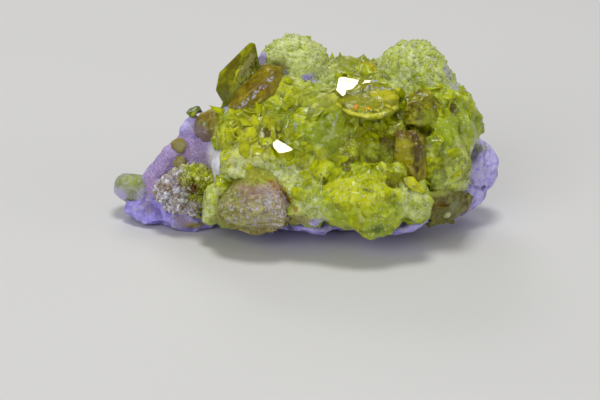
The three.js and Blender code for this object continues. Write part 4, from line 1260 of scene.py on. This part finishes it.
# Fresh cleavage faces that catch the overhead light, and the round bead on the foot crystal
cleavageShape = {
    "facing": (0, -0.559, 0.829),
    "taper": 0.8,
    "tint": ("d9d640", "b4b024"),
}
cleavages = {  # corners, and how deep the crystal goes
    "lensCleavage": [
        ((2.09, 0.01, 12.57), (2.35, 0.18, 12.69), (3.61, -0.04, 12.54), (3.56, -0.32, 12.35),
         (3.04, -0.89, 11.97), (2.47, -1.36, 11.65), (2.08, -1.05, 11.86), (1.97, -0.9, 11.96)), 0.4],
    "lensChip": [
        ((3.94, -0.21, 12.32), (4.09, 0.03, 12.48), (4.58, 0.13, 12.55), (4.49, -0.1, 12.39)), 0.3],
    "massCleavage": [
        ((-2.73, -3.48, 8.63), (-2.36, -3.43, 8.67), (-1.81, -3.71, 8.48), (-1.12, -4.1, 8.22),
         (-1.33, -4.26, 8.11), (-2.08, -4.49, 7.95), (-2.55, -4.09, 8.22)), 0.8],
}
beadShape = {"radius": 0.36, "flat": 0.85, "place": (10.9, -2.0, 2.65), "tint": ("d3d9b8", "aab06a")}


def makeCleavage(name, corners, depth):  # a thin crystal with one true flat face
    form = bmesh.new()
    facing, taper = Vector(cleavageShape["facing"]), cleavageShape["taper"]
    middle = sum((Vector(corner) for corner in corners), Vector()) / len(corners)
    for corner in corners:
        flat = Vector(corner) - facing * (Vector(corner) - middle).dot(facing)
        form.verts.new(flat)
        form.verts.new(middle + (flat - middle) * taper - facing * depth)
    return linked(name, meshOf(name, hulled(form)))


def makeBead(shape):
    form = bmesh.new()
    bmesh.ops.create_icosphere(form, subdivisions=3, radius=shape["radius"])
    for vert in form.verts:
        flat = Vector((vert.co.x, vert.co.y, vert.co.z * shape["flat"]))
        vert.co = flat + Vector(shape["place"])
    return linked("footBead", meshOf("footBead", form))


def cleavageFinish(shape):
    f = Finish("freshCleavage")
    colour = f.mix(f.noise(1.2, 4).ramp(0.4, 0.6), *map(paint, shape["tint"]))
    rough = f.noise(2.6, 5, rough=0.65).ramp(0.52, 0.66) * 0.4 + 0.02
    shader = f.principled({
        "Base Color": colour, "Roughness": rough, "IOR": 1.6, "Coat Weight": 0.15,
        "Coat Roughness": 0.03, "Subsurface Weight": 0.4, "Subsurface Radius": (1.0, 0.9, 0.2),
        "Subsurface Scale": 0.0006, "Normal": f.bump(f.noise(1.3, 3) * 0.05)})
    return f.done(shader)


def beadFinish(shape):
    f = Finish("paleBead")
    colour = f.mix(f.noise(2.4, 4).ramp(0.4, 0.6), *map(paint, shape["tint"]))
    return glossy(f, colour, f.noise(3.0, 4) * 0.1, 0.05)


print("cleavages and bead")
cleavagePieces = {name: makeCleavage(name, *cut) for name, cut in cleavages.items()}
bead = makeBead(beadShape)
cleavageMaterial = cleavageFinish(cleavageShape)


print("finishing pieces")
finished(rock, rockMaterial, ["matrix_rock"])
for name, look in clearCrystals.items():
    finished(clears[name], clearFinish(name, look), look["nodes"], smooth=False)
for name, look in roundCrystals.items():
    finished(rounds[name], roundFinishes[name], look["nodes"])
massSlot, massNodes = "jouravskite", ["jouravskite_mass"]
finished(mass, massMaterial, massNodes)
finished(druseBed, druseMaterial, ["tail_druse"])
finished(druseCrystals, druseMaterial, ["tail_druse"], smooth=False)
finished(domeSugar, massMaterial, massNodes, smooth=False)
finished(massFlakes, clearFinish("massFlakes", flakeShape), massNodes, smooth=False)
finished(domeGrains, roundFinishes["brownDome"], ["brown_dome"], smooth=False)
for name, piece in cleavagePieces.items():
    onLens = name.startswith("lens")
    slot, nodes = ("clear_jouravskite", ["lens_crystal"]) if onLens else (massSlot, massNodes)
    finished(piece, cleavageMaterial, nodes, smooth=False)
finished(bead, beadFinish(beadShape), ["foot_crystal"])


# Floor, lights and camera
stageSet = {
    "floor": 3.0,
    "floorColour": "d9d8d6",
    "floorMottle": (0.8, 0.8, 0.79, 1),
    "overhead": {"place": (0, 0, 0.32), "aim": (0, 0, 0.008), "size": (0.09, 0.09), "power": 0.42},
    "front": {"place": (-0.16, -0.34, 0.22), "aim": (0, 0, 0.007), "size": (0.26, 0.2), "power": 0.62},
    "side": {"place": (0.36, -0.12, 0.16), "aim": (0, 0, 0.007), "size": (0.2, 0.2), "power": 0.22},
    "back": {"place": (-0.1, 0.34, 0.22), "aim": (0, 0, 0.008), "size": (0.2, 0.14), "power": 0.3},
    "world": 0.22,
}
view = {"place": (-0.40647, -206.84, 86.005), "down": 22, "roll": 2.7, "lens": 172.45,
        "sensor": 36, "clip": (0.01, 20)}


def softLight(name, at):
    lamp = bpy.data.lights.new(name, "AREA")
    lamp.shape = "RECTANGLE"
    lamp.size, lamp.size_y = at["size"]
    lamp.energy = at["power"]
    light = bpy.data.objects.new(name, lamp)
    bpy.context.scene.collection.objects.link(light)
    light.location = at["place"]
    light.rotation_euler = (Vector(at["aim"]) - light.location).to_track_quat("-Z", "Y").to_euler()


def makeStage(parts):
    mesh = bpy.data.meshes.new("floor")
    half = parts["floor"]
    corners = [(-half, -half, 0), (half, -half, 0), (half, half, 0), (-half, half, 0)]
    mesh.from_pydata(corners, [], [(0, 1, 2, 3)])
    floor = linked("floor", mesh)
    f = Finish("floorPaper")
    pale = paint(parts["floorColour"])
    colour = f.mix(f.noise(0.02, 2) * 0.3, pale, parts["floorMottle"])
    mesh.materials.append(f.done(f.principled({"Base Color": colour, "Roughness": 0.7})))
    for name in ("overhead", "front", "side", "back"):
        softLight(name + "Light", parts[name])
    world = bpy.data.worlds.new("studio")
    world.use_nodes = True
    sky = world.node_tree.nodes["Background"]
    sky.inputs["Strength"].default_value = parts["world"]
    sky.inputs["Color"].default_value = (1, 1, 1, 1)
    bpy.context.scene.world = world


def placeCamera(parts):
    down, roll = math.radians(parts["down"]), math.radians(parts["roll"])
    level, upward = Vector((1, 0, 0)), Vector((0, math.sin(down), math.cos(down)))
    across = level * math.cos(roll) + upward * math.sin(roll)
    up = upward * math.cos(roll) - level * math.sin(roll)
    camera = bpy.data.objects.new("camera", bpy.data.cameras.new("camera"))
    camera.data.lens, camera.data.sensor_width = parts["lens"], parts["sensor"]
    camera.data.clip_start, camera.data.clip_end = parts["clip"]
    turned = Matrix((across, up, across.cross(up))).transposed().to_4x4()
    camera.matrix_world = Matrix.Translation(Vector(parts["place"]) / perMetre) @ turned
    bpy.context.scene.collection.objects.link(camera)
    bpy.context.scene.camera = camera


print("stage")
makeStage(stageSet)
placeCamera(view)
bpy.context.scene.view_settings.view_transform = "Standard"

for form in [*stubbyForms.objects, *flakeForms.objects, *druseForms.objects]:
    bpy.data.objects.remove(form)
